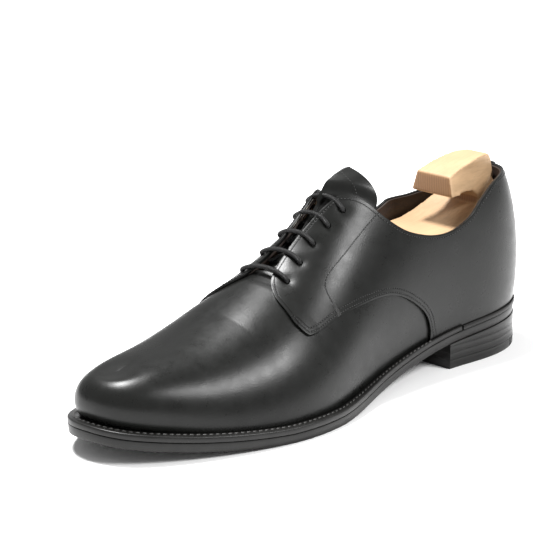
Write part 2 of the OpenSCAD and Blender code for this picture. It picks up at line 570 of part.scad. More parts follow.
// ---- Shoe tree ----
tree_off = lining_in - tree_gap;
tree_z = 36;
tree_y = 2 + middle_y;
function tree_x(s) = heel_x - s * length_grade;
hinge_x = tree_x(88);
tang_thickness = 6;
tang_height = 11;
tube_front = tree_x(212);
// The tube leaves room for the rod's travel in front of the heel block
tube_back = hinge_x - tang_height / 2 - tree_travel - 22.5 * length_grade;
rod_front = tree_x(158);
split_gap = squeeze_travel + 1.2;
channel = tube_diameter / 2 + squeeze_travel + 0.8;
pin_reach = 14;
guide_diameter = 3;
guide_places = [-1, 1];
leaf_back = tube_front - 0.1;
leaf_length = 38 * length_grade;
leaf_height = 11;
leaf_thickness = 1.6;
function guide_x(k) = leaf_back - leaf_length * (k < 0 ? 0.75 : 0.3);

module along_y(x, z, diameter, y0, y1)
    translate([x, y0, z]) rotate([-90, 0, 0]) cylinder(d = diameter, h = y1 - y0, $fn = 48);
module along_x(x0, x1, diameter)
    translate([x0, tree_y, tree_z]) rotate([0, 90, 0]) cylinder(d = diameter, h = x1 - x0, $fn = 48);

toe_block_back = tree_x(196);
module toe_block(side) color(beech) difference() {
    plug(mirrored([0, 0.3, 0.6, 0.9, 1.25, 1.6, 2, 2.4, 2.8, 3.2, 3.6, 4, 4.35]), 8, 0.08, 1, tree_off);
    translate([-sole_length, side > 0 ? -200 : tree_y - split_gap, -10])
        cube([2 * sole_length, 200 + (side > 0 ? tree_y + split_gap : 0), 200]);
    translate([tube_front - 2, tree_y - channel, tree_z - channel])
        cube([sole_length, 2 * channel, 2 * channel]);
    for (k = guide_places)
        along_y(guide_x(k), tree_z, guide_diameter + 0.14,
            tree_y - pin_reach - squeeze_travel - 1, tree_y + pin_reach + squeeze_travel + 1);
}
module toe_block_lateral() toe_block(-1);
module toe_block_medial() toe_block(1);

module toe_guide_pins() color(steel)
    for (k = guide_places)
        along_y(guide_x(k), tree_z, guide_diameter, tree_y - pin_reach, tree_y + pin_reach);

module tree_leaf() color(steel) difference() {
    translate([leaf_back - leaf_length, tree_y - leaf_thickness / 2, tree_z - leaf_height / 2])
        cube([leaf_length, leaf_thickness, leaf_height]);
    for (k = guide_places)
        along_y(guide_x(k), tree_z, guide_diameter, tree_y - 2, tree_y + 2);
}

module tree_tube() color(steel) difference() {
    along_x(tube_front, tube_back, tube_diameter);
    along_x(tube_front + 3, tube_back + 1, rod_diameter + 0.16);
}

spring_wire = 0.9;
spring_turns = 9;
spring_start = tube_front + 3.1;
spring_end = rod_front - 0.1;
module tree_spring() color(steel)
    swept(tube_rings([for (k = [0:spring_turns * 8])
        let(a = 45 * k, t = k / (spring_turns * 8), r = rod_diameter / 2 - spring_wire / 2 - 0.15)
        [spring_start + spring_wire / 2 + t * (spring_end - spring_start - spring_wire),
        tree_y + r * cos(a), tree_z + r * sin(a)]], spring_wire / 2, 5));

tang_bore = pin_diameter + 0.1;
module tree_rod() color(steel) difference() {
    union() {
        along_x(rod_front, hinge_x - tang_height / 2 + 1, rod_diameter);
        along_y(hinge_x, tree_z, tang_height, tree_y - tang_thickness / 2, tree_y + tang_thickness / 2);
    }
    along_y(hinge_x, tree_z, tang_bore, tree_y - tang_thickness, tree_y + tang_thickness);
}

// Side view of the wooden heel block: distance from the back of the heel, height
BODY_SIDE = [[97, 31], [96, 58], [92, 67], [84, 71], [70, 71.5], [56, 72], [46, 74], [36, 78],
    [28, 83], [20, 90], [12, 97], [-5, 97], [-5, 31.5], [40, 30.5], [75, 29]];
HANDLE_SIDE = [[60, 68], [46, 73], [37, 76], [32, 80], [31, 84.5], [33.5, 88.5], [38, 90.2],
    [52, 89.5], [56, 101], [46, 104], [34, 106.5], [24, 107.5], [18.5, 106.5], [16.4, 100],
    [15, 92], [14.2, 84], [14.2, 60], [60, 60]];
// Plan of the handle, narrower towards the back
HANDLE_PLAN = [[66, 1], [50, 1], [30, 0.86], [18, 0.6], [8, 0.42]];
module side_cut(outline, half_width)
    rotate([90, 0, 0]) linear_extrude(2 * half_width, center = true)
        polygon([for (p = outline) [tree_x(p[0]), p[1]]]);
slot = tang_thickness / 2 + 0.3;
module tree_heel_block() color(beech) difference() {
    union() {
        intersection() {
            plug([for (u = [6.6, 6.9, 7.2, 7.6, 8, 8.4, 8.8, 9.2, 9.6, 10, 10.35, 10.7, 11,
                11.3, 11.65, 12, 12.4, 12.8, 13.2, 13.6, 14, 14.4, 14.8, 15.1, 15.4]) u],
                10, 0.02, 0.56, tree_off);
            side_cut(BODY_SIDE, 60);
        }
        intersection() {
            side_cut(HANDLE_SIDE, 30);
            linear_extrude(200) polygon(concat(
                [for (p = HANDLE_PLAN) [tree_x(p[0]), middle_y + p[1] * handle_width / 2]],
                [for (i = [len(HANDLE_PLAN) - 1:-1:0])
                    [tree_x(HANDLE_PLAN[i][0]), middle_y - HANDLE_PLAN[i][1] * handle_width / 2]]));
        }
    }
    translate([hinge_x - 30, tree_y - slot, tree_z - 30])
        cube([30 + tang_height / 2 + 2, 2 * slot, 60]);
    along_y(hinge_x, tree_z, pin_diameter, -60, 60);
}

module tree_pin() color(steel)
    along_y(hinge_x, tree_z, pin_diameter, tree_y - 14, tree_y + 14);

outsole();
welt();
welt_stitches();
heel_rand();
heel_lift_top();
heel_lift_middle();
heel_lift_bottom();
top_piece();
rubber_tip();
heel_nails();
insole();
insole_rib();
cork_filler();
shank();
sock_pad();
toe_puff();
heel_counter();
vamp();
vamp_lining();
quarter_lateral();
quarter_medial();
quarter_lining_lateral();
quarter_lining_medial();
facing_stay_lateral();
facing_stay_medial();
hidden_eyelets();
tongue();
tongue_tip();
lace();
lace_tips();
back_strip();
toe_block_lateral();
toe_block_medial();
toe_guide_pins();
tree_leaf();
tree_tube();
tree_spring();
tree_rod();
tree_heel_block();
tree_pin();
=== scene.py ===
"""Left derby shoe with its wooden shoe tree: each visible surface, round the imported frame."""
import math

import bmesh
import bpy
import numpy as np
from bpy.props import FloatProperty, FloatVectorProperty, IntProperty, PointerProperty
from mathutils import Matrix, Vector


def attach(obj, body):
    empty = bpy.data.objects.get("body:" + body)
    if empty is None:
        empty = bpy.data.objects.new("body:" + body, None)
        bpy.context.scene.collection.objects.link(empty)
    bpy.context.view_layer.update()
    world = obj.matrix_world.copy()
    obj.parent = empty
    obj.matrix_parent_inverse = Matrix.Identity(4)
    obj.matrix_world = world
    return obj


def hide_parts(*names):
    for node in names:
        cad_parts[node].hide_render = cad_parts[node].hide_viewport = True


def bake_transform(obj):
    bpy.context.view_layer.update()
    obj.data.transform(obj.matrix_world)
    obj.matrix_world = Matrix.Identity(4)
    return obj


bl_info = {
    "name": "Derby Shoe Maker",
    "version": (1, 0, 0),
    "blender": (4, 5, 0),
    "location": "View3D > Sidebar > Shoe",
    "description": "Builds a welted derby shoe and its shoe tree",
    "category": "Add Mesh",
}

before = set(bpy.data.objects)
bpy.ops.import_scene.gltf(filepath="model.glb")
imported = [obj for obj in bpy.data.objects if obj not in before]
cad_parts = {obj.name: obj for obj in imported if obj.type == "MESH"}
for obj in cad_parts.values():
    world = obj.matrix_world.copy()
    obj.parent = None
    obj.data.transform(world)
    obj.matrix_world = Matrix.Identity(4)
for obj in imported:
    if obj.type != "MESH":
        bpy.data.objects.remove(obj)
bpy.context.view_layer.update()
MM = 0.001

# ---- Pattern tables, the same as the part's ----
LAST_STATION = 11
LATERAL = [(297, 7), (291, -10), (272, -25), (243, -38), (205, -46.5), (170, -43.5),
           (135, -34), (100, -29), (68, -28.5), (38, -29.5), (13, -20.5), (4, 0)]
MEDIAL = [(297, 7), (293, 21), (276, 33), (250, 42), (218, 45.5), (182, 38.5),
          (140, 27.5), (100, 25), (68, 27), (38, 28.5), (13, 20.5), (4, 0)]
RIDGE = [(280, 6), (277, 6), (265, 5.5), (240, 5), (210, 4.5), (182, 4.5),
         (158, 4), (138, 4), (114, 2), (90, 0), (66, 0), (54, 0)]
RIDGE_RISE = [0, 0.036, 0.124, 0.245, 0.425, 0.6, 0.81, 1, 1.05, 1.06, 1.05, 1.045]
SPRING_SHARE = [1, 0.86, 0.57, 0.24, 0, 0, 0, 0, 0, 0, 0, 0]
HEEL_SHARE = [0, 0, 0, 0, 0, 0.05, 0.27, 0.56, 0.77, 0.9, 0.97, 1]
ROUNDNESS = [0.6, 0.62, 0.74, 0.9, 0.95, 0.95, 0.85, 0.7, 0.55, 0.5, 0.5, 0.5]
SWELL = [4.5, 4.2, 2.2, 0.5, 0.5, 1, 2, 3, 3.5, 3.5, 3.5, 3.5]
WELT_SHARE = [1, 1, 1, 1, 0.95, 0.75, 0.45, 0.2, 0, 0, 0, 0]
QUARTER_LOW = [(4.42, 0.52), (4.48, 0.473), (5.2, 0.43), (5.87, 0.364), (6.4, 0.295),
               (6.83, 0.202), (7.19, 0.096), (7.31, 0.015)]
QUARTER_HIGH = [(4.42, 0.648), (4.49, 0.744), (4.59, 0.813), (4.7, 0.859), (4.83, 0.896),
                (5.32, 0.94), (5.75, 0.95), (6.14, 0.94), (6.52, 0.919), (6.69, 0.9),
                (6.74, 0.859), (6.78, 0.78), (6.81, 0.652), (6.89, 0.577), (7.04, 0.503),
                (7.42, 0.427), (7.91, 0.396), (8.45, 0.426), (8.89, 0.491), (9.48, 0.548),
                (11, 0.55)]
MEDIAL_DIP = [(8.2, 0), (8.45, 0.008), (8.89, 0.086), (9.2, 0.122), (9.48, 0.136), (10, 0.092),
              (10.4, 0.045), (10.8, 0.01), (11, 0)]
VAMP_HIGH = [(5.02, 0.86), (5.06, 0.72), (5.12, 0.6), (5.25, 0.51), (5.87, 0.44), (6.4, 0.37),
             (6.83, 0.28), (7.19, 0.18), (7.6, 0.1)]
FANCY_LINE = [(6.74, 0.661), (5.92, 0.65), (5.52, 0.648), (5.36, 0.634), (5.26, 0.597),
              (5.22, 0.54), (5.21, 0.45)]
EYELETS = [(4.92, 0.805), (5.33, 0.827), (5.73, 0.842), (6.12, 0.838), (6.47, 0.825)]

# ---- Driving sizes, in millimetres ----
TOE_SPRING, HEEL_HEIGHT, TOE_HEIGHT, INSTEP = 10.5, 19.5, 22, 90.5
OUTSOLE, WELT, WELT_WIDTH, SEAT_WIDTH = 5.2, 3.2, 6.5, 2.2
TOP_PIECE, UPPER, LINING, GAP = 5, 1.4, 1.1, 0.15
HEEL_X, MIDDLE_Y = 152.122, 0.48977
WELT_END, BREAST, TIP_STATION = 8.1, 7.8, 9.6
QUARTER_FRONT, WING_END, THROAT = 4.42, 7.6, 5.0
QUARTER_IN, QUARTER_OUT = GAP, GAP + UPPER
LACE_DEPTH = -3.45
FACING_LINING, DEEP_LINING = -0.7, -1.55
TONGUE_EDGE = 0.77
STEP = 0.002


def length(name, description, default, low, high):
    return FloatProperty(name=name, description=description, default=default * MM,
                         min=low * MM, max=high * MM, unit="LENGTH", precision=5)


class Sizes(bpy.types.PropertyGroup):
    """Sizes that a maker would change"""
    lace: length("Lace diameter", "Round waxed lace", 2.4, 2, 2.9)
    eyelet: length("Eyelet hole", "Punched hole in the facing", 3.4, 2.8, 4.1)
    stitch: length("Stitch length", "Upper seams", 1.25, 0.8, 2)
    thread: length("Thread thickness", "Upper seams", 0.42, 0.3, 0.8)
    welt_stitch: length("Welt stitch length", "Stitches on the welt", 2.6, 2, 4)
    edge: length("Cut edge radius", "Rounding of cut leather", 0.4, 0.1, 0.7)
    sanding: IntProperty(name="Sanding", description="Smoothing passes on the heel block",
                         default=7, min=1, max=30)


class Finishes(bpy.types.PropertyGroup):
    """Colours of the materials"""
    calf: FloatVectorProperty(name="Calf", description="Polished black calf", subtype="COLOR",
                              default=(0.0046, 0.0048, 0.0044), min=0, max=1)
    lining: FloatVectorProperty(name="Lining", description="Dark brown calf", subtype="COLOR",
                                default=(0.022, 0.014, 0.0105), min=0, max=1)
    sole: FloatVectorProperty(name="Sole edge", description="Black edge dressing",
                              subtype="COLOR", default=(0.0062, 0.006, 0.0057), min=0, max=1)
    lace: FloatVectorProperty(name="Lace", description="Waxed black cotton", subtype="COLOR",
                              default=(0.008, 0.008, 0.008), min=0, max=1)
    thread: FloatVectorProperty(name="Thread", description="Waxed black thread",
                                subtype="COLOR", default=(0.006, 0.006, 0.0055), min=0, max=1)
    beech: FloatVectorProperty(name="Beech", description="Side grain", subtype="COLOR",
                               default=(0.475, 0.315, 0.18), min=0, max=1)
    beech_end: FloatVectorProperty(name="Beech end grain", description="Cut across the grain",
                                   subtype="COLOR", default=(0.29, 0.16, 0.078), min=0, max=1)


def in_mm(name):
    """A size in millimetres."""
    return getattr(bpy.context.scene.shoe_sizes, name) / MM


def finishes():
    return bpy.context.scene.shoe_finishes


# ---- Last surface ----
class Round:
    """A smooth curve through the stations round the shoe, which meets itself at the heel."""

    def __init__(self, outer, inner=None):
        inner = outer if inner is None else inner
        outer, inner = np.array(outer, float), np.array(inner, float)
        if outer.ndim == 1:
            outer, inner = outer[:, None], inner[:, None]
        self.y = np.array([outer[-k] if k < 0 else inner[k] for k in range(-11, 11)])
        n = len(self.y)
        turn = np.eye(n) * 4 + np.roll(np.eye(n), 1, 1) + np.roll(np.eye(n), -1, 1)
        self.bend = np.linalg.solve(
            turn, 6 * (np.roll(self.y, 1, 0) - 2 * self.y + np.roll(self.y, -1, 0)))

    def __call__(self, u):
        t = np.mod(np.asarray(u, float) + LAST_STATION, 2 * LAST_STATION)
        i = np.floor(t).astype(int) % 22
        j, f = (i + 1) % 22, (t - np.floor(t))[..., None]
        g = 1 - f
        value = (g * self.y[i] + f * self.y[j] + (g ** 3 - g) * self.bend[i] / 6
                 + (f ** 3 - f) * self.bend[j] / 6)
        return value[..., 0] if value.shape[-1] == 1 else value


OUTLINE, CREST, RISE = Round(LATERAL, MEDIAL), Round(RIDGE), Round(RIDGE_RISE)
SPRING, HEEL, ROUNDING = Round(SPRING_SHARE), Round(HEEL_SHARE), Round(ROUNDNESS)
BULGE, WELT_RUN = Round(SWELL), Round(WELT_SHARE)


def smooth(x):
    t = np.clip(x, 0, 1)
    return t * t * (3 - 2 * t)


def sole_low(u):
    return np.maximum(0, TOE_SPRING * SPRING(u) + HEEL_HEIGHT * HEEL(u) - 0.35)


def feather_z(u):
    return sole_low(u) + OUTSOLE + WELT


def sole_ext(u):
    return SEAT_WIDTH + (WELT_WIDTH - SEAT_WIDTH) * WELT_RUN(u)


def feather(u):
    p = OUTLINE(u)
    return np.stack([HEEL_X - p[..., 0], p[..., 1] + MIDDLE_Y], -1)


def outward(u):
    t = feather(u + STEP) - feather(u - STEP)
    return np.stack([-t[..., 1], t[..., 0]], -1) / np.linalg.norm(t, axis=-1)[..., None]


def ridge(u):
    p = CREST(u)
    z = feather_z(u) + TOE_HEIGHT + (INSTEP - TOE_HEIGHT) * RISE(u)
    return np.stack([HEEL_X - p[..., 0], p[..., 1] + MIDDLE_Y, z], -1)


def last(u, v):
    """Points of the last: u runs round the feather line, v from the feather to the ridge."""
    h = np.clip(v, 0, 1)
    f, r, foot = feather(u), ridge(u), feather_z(u)
    a = 1 - np.cos(h * math.pi / 2) ** ROUNDING(u)
    swell = outward(u) * (BULGE(u) * np.sin(math.pi * h ** 0.75))[..., None]
    xy = f + (r[..., :2] - f) * a[..., None] + swell
    z = foot + (r[..., 2] - foot) * np.sin(h * math.pi / 2) + np.minimum(v, 0) * (WELT - 0.15)
    # Over the toe the crest slopes, so what lies ahead of the ridge slopes with it
    slope = 0.2 * (1 - smooth((np.abs(u) - 2.6) / 1.6)) * smooth((h - 0.72) / 0.28)
    z = z + slope * (xy[..., 0] - r[..., 0])
    return np.concatenate([xy, z[..., None]], -1)


def unit(a):
    return a / np.maximum(np.linalg.norm(a, axis=-1), 1e-9)[..., None]


def normal(u, v):
    h = np.clip(v, 0.03, 0.985)
    side = unit(np.cross(last(u, h + STEP) - last(u, h - STEP),
                         last(u + STEP, h) - last(u - STEP, h)))
    q = np.maximum(0.05, np.abs(u))
    t = ridge(q + STEP) - ridge(q - STEP)
    top = unit(np.stack([-t[..., 2], 0 * q, t[..., 0]], -1))
    level = np.concatenate([outward(u), 0 * q[..., None]], -1)
    crown = smooth((v - 0.955) / 0.045)[..., None]
    return unit(np.where(v[..., None] < 0, level, side * (1 - crown) + top * crown))


def skin(u, v, off):
    u, v, off = np.broadcast_arrays(np.asarray(u, float), v, off)
    return last(u, v) + normal(u, v) * off[..., None]


def edge_point(u, ext, z):
    u, ext, z = np.broadcast_arrays(np.asarray(u, float), ext, z)
    return np.concatenate([feather(u) + outward(u) * ext[..., None], z[..., None]], -1)


def through(points, count=60):
    """A smooth curve through the points of a pattern, count steps between each two."""
    p = np.array(points, float)
    p = np.vstack([2 * p[0] - p[1], p, 2 * p[-1] - p[-2]])
    t = np.linspace(0, 1, count, endpoint=False)[:, None]
    out = []
    for a, b, c, d in zip(p, p[1:], p[2:], p[3:]):
        # Uneven steps are eased, so that a curve doesn't loop where points lie close
        lb, la, lc = (np.linalg.norm(x) ** 0.5 + 1e-9 for x in (c - b, b - a, d - c))
        mb = (c - b) + lb * ((b - a) / la - (c - a) / (la + lb))
        mc = (c - b) + lb * ((d - c) / lc - (d - b) / (lb + lc))
        out.append((2 * t ** 3 - 3 * t ** 2 + 1) * b + (t ** 3 - 2 * t ** 2 + t) * mb
                   + (3 * t ** 2 - 2 * t ** 3) * c + (t ** 3 - t ** 2) * mc)
    return np.vstack(out + [p[-2:-1]])


LOW_CURVE, HIGH_CURVE, VAMP_CURVE, DIP_CURVE = (
    through(p) for p in (QUARTER_LOW, QUARTER_HIGH, VAMP_HIGH, MEDIAL_DIP))


def fill_in(path, times):
    """More points along a path, evenly between those given."""
    t = np.arange(len(path))
    fine = np.linspace(0, len(path) - 1, len(path) * times)
    return np.stack([np.interp(fine, t, path[:, 0]), np.interp(fine, t, path[:, 1])], 1)


def at_station(curve, q):
    return np.interp(q, curve[:, 0], curve[:, 1])


def rows_between(us, low, high, rows):
    """Heights that divide each column of the last evenly between low and high."""
    fine = 1 - (1 - np.linspace(0, 1, 260)) ** 1.8
    out = []
    for u, a, b in zip(us, low, high):
        p = last(np.full(260, u), fine)
        run = np.concatenate([[0], np.cumsum(np.linalg.norm(np.diff(p, axis=0), axis=1))])
        ra, rb = np.interp([a, b], fine, run)
        out.append(np.interp(ra + (rb - ra) * np.linspace(0, 1, rows), run, fine))
    return np.array(out)


# ---- Mesh helpers ----
def make_object(name, verts, faces, material, merge=0.02):
    """A mesh in place, in metres, from points in millimetres; doubles merged, faces outwards."""
    mesh = bpy.data.meshes.new(name)
    mesh.from_pydata((np.asarray(verts) * MM).tolist(), [], faces)
    bm = bmesh.new()
    bm.from_mesh(mesh)
    if merge:
        bmesh.ops.remove_doubles(bm, verts=bm.verts, dist=merge * MM)
    bmesh.ops.dissolve_degenerate(bm, edges=bm.edges, dist=1e-6)
    if bm.calc_volume(signed=True) < 0:
        bmesh.ops.reverse_faces(bm, faces=bm.faces)
    bm.to_mesh(mesh)
    bm.free()
    mesh.materials.append(material)
    obj = bpy.data.objects.new(name, mesh)
    bpy.context.scene.collection.objects.link(obj)
    shade(obj)
    return obj


def shade(obj, angle=38):
    obj.data.polygons.foreach_set("use_smooth", [True] * len(obj.data.polygons))
    obj.data.set_sharp_from_angle(angle=math.radians(angle))


def grid_faces(n, m, start=0, flip=False, wrap_n=False, wrap_m=False):
    faces = []
    for i in range(n if wrap_n else n - 1):
        for j in range(m if wrap_m else m - 1):
            k, l = (i + 1) % n, (j + 1) % m
            f = (start + i * m + j, start + i * m + l, start + k * m + l, start + k * m + j)
            faces.append(f[::-1] if flip else f)
    return faces


def shell(name, outer, inner, material, joined=()):
    """A closed piece of leather between two grids of points. The tops of joined columns meet
    the other half of the piece, so they have no rim."""
    n, m = outer.shape[:2]
    faces = grid_faces(n, m) + grid_faces(n, m, n * m, True)
    rim = ([(i, 0) for i in range(n)] + [(n - 1, j) for j in range(1, m)]
           + [(i, m - 1) for i in range(n - 2, -1, -1)] + [(0, j) for j in range(m - 2, 0, -1)])
    for (i, j), (k, l) in zip(rim, rim[1:] + rim[:1]):
        a, b = i * m + j, k * m + l
        if not (j == l == m - 1 and i in joined and k in joined):
            faces.append((a, b, n * m + b, n * m + a))
    return make_object(name, np.vstack([outer.reshape(-1, 3), inner.reshape(-1, 3)]), faces,
                       material)


def sweep(name, rings, material):
    """A closed bar through rings of points."""
    n, m = rings.shape[:2]
    faces = grid_faces(n, m, wrap_m=True)
    faces += [tuple(range(m - 1, -1, -1)), tuple(range((n - 1) * m, n * m))]
    return make_object(name, rings.reshape(-1, 3), faces, material)


def apply_modifiers(obj):
    graph = bpy.context.evaluated_depsgraph_get()
    mesh = bpy.data.meshes.new_from_object(obj.evaluated_get(graph), depsgraph=graph)
    old = obj.data
    obj.modifiers.clear()
    obj.data = mesh
    mesh.name = obj.name
    bpy.data.meshes.remove(old)
    return obj


def soften(obj, width, segments=2, angle=50):
    """Rounds the cut edges of a piece."""
    bevel = obj.modifiers.new("Edge", "BEVEL")
    bevel.width, bevel.segments, bevel.limit_method = width * MM, segments, "ANGLE"
    bevel.angle_limit = math.radians(angle)
    bevel.use_clamp_overlap = True
    apply_modifiers(obj)
    shade(obj)
    return obj


def nearest(points, line):
    """Distance from each point to a line through many points, and the nearest of these."""
    best, where = np.full(len(points), 1e9), np.zeros(len(points), int)
    for start in range(0, len(line), 64):
        gap = np.linalg.norm(points[:, None, :] - line[None, start:start + 64], axis=2)
        k = gap.argmin(1)
        d = gap[np.arange(len(points)), k]
        closer = d < best
        best[closer], where[closer] = d[closer], k[closer] + start
    return best, where


def mark_distance(obj, name, line, side=None):
    """Stores 10 + the distance in millimetres from a line, signed by side directions."""
    co = np.empty(len(obj.data.vertices) * 3)
    obj.data.vertices.foreach_get("co", co)
    co = co.reshape(-1, 3) / MM
    far, k = nearest(co, line)
    if side is not None:
        far = ((co - line[k]) * side[k]).sum(1)
    attribute = obj.data.attributes.new(name, "FLOAT", "POINT")
    attribute.data.foreach_set("value", (10 + far).astype(np.float32))


def settle(obj, body, slot, *nodes):
    """Last step of a piece: its body and the nodes it stands for. The material slot is not used."""
    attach(obj, body)
    if nodes:
        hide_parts(*nodes)
    return obj


# ---- Materials ----
class Shader:
    """A short way to write a node material."""

    def __init__(self, name, colour, roughness=0.5, **sockets):
        self.material = bpy.data.materials.new(name)
        self.material.use_nodes = True
        self.material.diffuse_color = (*colour, 1)
        self.tree = self.material.node_tree
        self.base = self.tree.nodes["Principled BSDF"]
        self.base.inputs["Base Color"].default_value = (*colour, 1)
        self.base.inputs["Roughness"].default_value = roughness
        for socket, value in sockets.items():
            self.base.inputs[socket.replace("_", " ")].default_value = value
        self.object = self.add("ShaderNodeTexCoord").outputs["Object"]

    def add(self, kind, **values):
        node = self.tree.nodes.new(kind)
        for key, value in values.items():
            setattr(node, key, value)
        return node

    def link(self, a, b):
        self.tree.links.new(a, b)

    def mapped(self, source=None, scale=(1, 1, 1), turn=(0, 0, 0)):
        node = self.add("ShaderNodeMapping")
        node.inputs["Scale"].default_value = scale
        node.inputs["Rotation"].default_value = turn
        self.link(source or self.object, node.inputs["Vector"])
        return node.outputs["Vector"]

    def noise(self, scale, detail=3, rough=0.5, vector=None):
        node = self.add("ShaderNodeTexNoise")
        for key, value in (("Scale", scale), ("Detail", detail), ("Roughness", rough)):
            node.inputs[key].default_value = value
        self.link(vector or self.object, node.inputs["Vector"])
        return node.outputs["Fac"]

    def cells(self, scale, vector=None):
        node = self.add("ShaderNodeTexVoronoi")
        node.inputs["Scale"].default_value = scale
        self.link(vector or self.object, node.inputs["Vector"])
        return node.outputs["Distance"]

    def bands(self, scale, vector=None, direction="Z", distortion=0.0, detail=2.0):
        node = self.add("ShaderNodeTexWave", bands_direction=direction)
        for key, value in (("Scale", scale), ("Distortion", distortion), ("Detail", detail)):
            node.inputs[key].default_value = value
        self.link(vector or self.object, node.inputs["Vector"])
        return node.outputs["Fac"]

    def spread(self, source, low, high, start=0.0, end=1.0):
        node = self.add("ShaderNodeMapRange")
        for key, value in (("From Min", start), ("From Max", end), ("To Min", low),
                           ("To Max", high)):
            node.inputs[key].default_value = value
        self.link(source, node.inputs["Value"])
        return node.outputs["Result"]

    def mix(self, factor, first, second):
        node = self.add("ShaderNodeMix", data_type="RGBA")
        ins = [s for s in node.inputs if s.type == "RGBA"]
        fac = [s for s in node.inputs if s.name == "Factor" and s.type == "VALUE"][0]
        for value, socket in ((factor, fac), (first, ins[0]), (second, ins[1])):
            if isinstance(value, bpy.types.NodeSocket):
                self.link(value, socket)
            elif socket is fac:
                socket.default_value = value
            else:
                socket.default_value = (*value, 1)
        return [s for s in node.outputs if s.type == "RGBA"][0]

    def times(self, a, b, operation="MULTIPLY"):
        node = self.add("ShaderNodeMath", operation=operation)
        for value, socket in ((a, node.inputs[0]), (b, node.inputs[1])):
            if isinstance(value, bpy.types.NodeSocket):
                self.link(value, socket)
            else:
                socket.default_value = value
        return node.outputs["Value"]

    def bump(self, *heights):
        """Heights as (source, depth in metres), from coarse to fine."""
        before = None
        for source, depth in heights:
            node = self.add("ShaderNodeBump")
            node.inputs["Strength"].default_value = 1
            node.inputs["Distance"].default_value = depth
            self.link(source, node.inputs["Height"])
            if before:
                self.link(before, node.inputs["Normal"])
            before = node.outputs["Normal"]
        self.link(before, self.base.inputs["Normal"])

    def colour(self, source):
        self.link(source, self.base.inputs["Base Color"])

    def roughness(self, source):
        self.link(source, self.base.inputs["Roughness"])


MATERIALS = {}


def material(name):
    if name not in MATERIALS:
        MATERIALS[name] = FINISHES[name]()
    return MATERIALS[name]


def shade_of(colour, share):
    return tuple(min(1, c * share) for c in colour)


def seam_grooves(s):
    """Where each row of stitches pulls the leather in: 1 in the groove, 0 away from it. The calf
    takes its bump from it, and also painted shade: darker colour and less shine in the groove.
    """
    total = None
    for name, places in (("from_low", (1.5, 3.6)), ("from_high", (1.8,)), ("from_line", (0.0,))):
        far = s.add("ShaderNodeAttribute", attribute_name=name).outputs["Fac"]
        for place in places:
            gap = s.add("ShaderNodeMath", operation="ABSOLUTE")
            s.link(s.times(far, 10 + place, "SUBTRACT"), gap.inputs[0])
            near = s.spread(gap.outputs["Value"], 1, 0, 0.1, 0.42)
            total = near if total is None else s.times(total, near, "MAXIMUM")
    return total


def polished_calf():
    c = tuple(finishes().calf)
    s = Shader("polished_calf", c, 0.3, Specular_IOR_Level=0.15, Coat_Weight=0.16,
               Coat_Roughness=0.28)
    cloud, pores = s.noise(38, 4, 0.6), s.cells(1500)
    fine, groove = s.noise(2600, 3, 0.6), seam_grooves(s)
    tone = s.mix(s.spread(cloud, 0, 1, 0.35, 0.7), c, shade_of(c, 1.6))
    # Painted shade: in the seam grooves the colour darkens to a fifth of the calf's
    s.colour(s.mix(s.times(groove, 0.85), tone, shade_of(c, 0.2)))
    s.roughness(s.times(s.spread(s.noise(140, 4, 0.65), 0.25, 0.38, 0.3, 0.7),
                        s.times(groove, 0.3), "ADD"))
    # Painted shade as well: the shine drops from 0.15 to 0.03 in the seam grooves
    dark = s.spread(groove, 0.15, 0.03)
    s.link(dark, s.base.inputs["Specular IOR Level"])
    s.bump((cloud, 0.00014), (s.noise(260, 3, 0.5), 0.00002), (groove, -0.00008),
           (pores, 0.00003), (fine, 0.00002))
    return s.material


def lining_calf():
    c = tuple(finishes().lining)
    s = Shader("lining_calf", c, 0.6, Specular_IOR_Level=0.25)
    s.colour(s.mix(s.noise(60, 4, 0.6), shade_of(c, 0.75), shade_of(c, 1.35)))
    s.roughness(s.spread(s.noise(300, 3), 0.5, 0.72))
    s.bump((s.noise(90, 4), 0.0003), (s.cells(1300), 0.00004))
    return s.material


def cut_leather(name, colour, polish):
    """Layered leather, sanded and dressed: fine lines run along the edge."""
    s = Shader(name, colour, polish, Specular_IOR_Level=0.22, Coat_Weight=0.12,
               Coat_Roughness=0.28)
    layers = s.noise(900, 3, 0.6, s.mapped(scale=(0.05, 0.05, 1)))
    s.colour(s.mix(s.spread(s.noise(120, 4), 0, 1, 0.35, 0.7), colour, shade_of(colour, 1.7)))
    s.roughness(s.spread(layers, polish - 0.06, polish + 0.1))
    s.bump((s.noise(120, 4), 0.00012), (layers, 0.00006), (s.noise(1800, 3), 0.00002))
    return s.material


def sole_edge():
    return cut_leather("sole_edge", tuple(finishes().sole), 0.36)


def heel_stack():
    return cut_leather("heel_stack", shade_of(tuple(finishes().sole), 0.9), 0.3)


def heel_rubber():
    c = (0.011, 0.011, 0.011)
    s = Shader("heel_rubber", c, 0.62)
    s.colour(s.mix(s.noise(200, 3), c, shade_of(c, 1.8)))
    s.roughness(s.spread(s.noise(500, 3), 0.5, 0.75))
    s.bump((s.noise(900, 3), 0.00006))
    return s.material


def waxed_lace():
    c = tuple(finishes().lace)
    s = Shader("waxed_lace", c, 0.45, Specular_IOR_Level=0.3)
    uv = s.add("ShaderNodeUVMap", uv_map="UVMap").outputs["UV"]
    left = s.bands(1, s.mapped(uv, (1, 1, 1), (0, 0, math.radians(38))), "X")
    right = s.bands(1, s.mapped(uv, (1, 1, 1), (0, 0, math.radians(-38))), "X")
    braid = s.times(left, right, "MAXIMUM")
    s.colour(s.mix(s.spread(braid, 0, 1, 0.3, 1), shade_of(c, 0.5), shade_of(c, 1.9)))
    s.roughness(s.spread(braid, 0.62, 0.4))
    s.bump((braid, 0.00016), (s.noise(2500, 2), 0.00003))
    return s.material


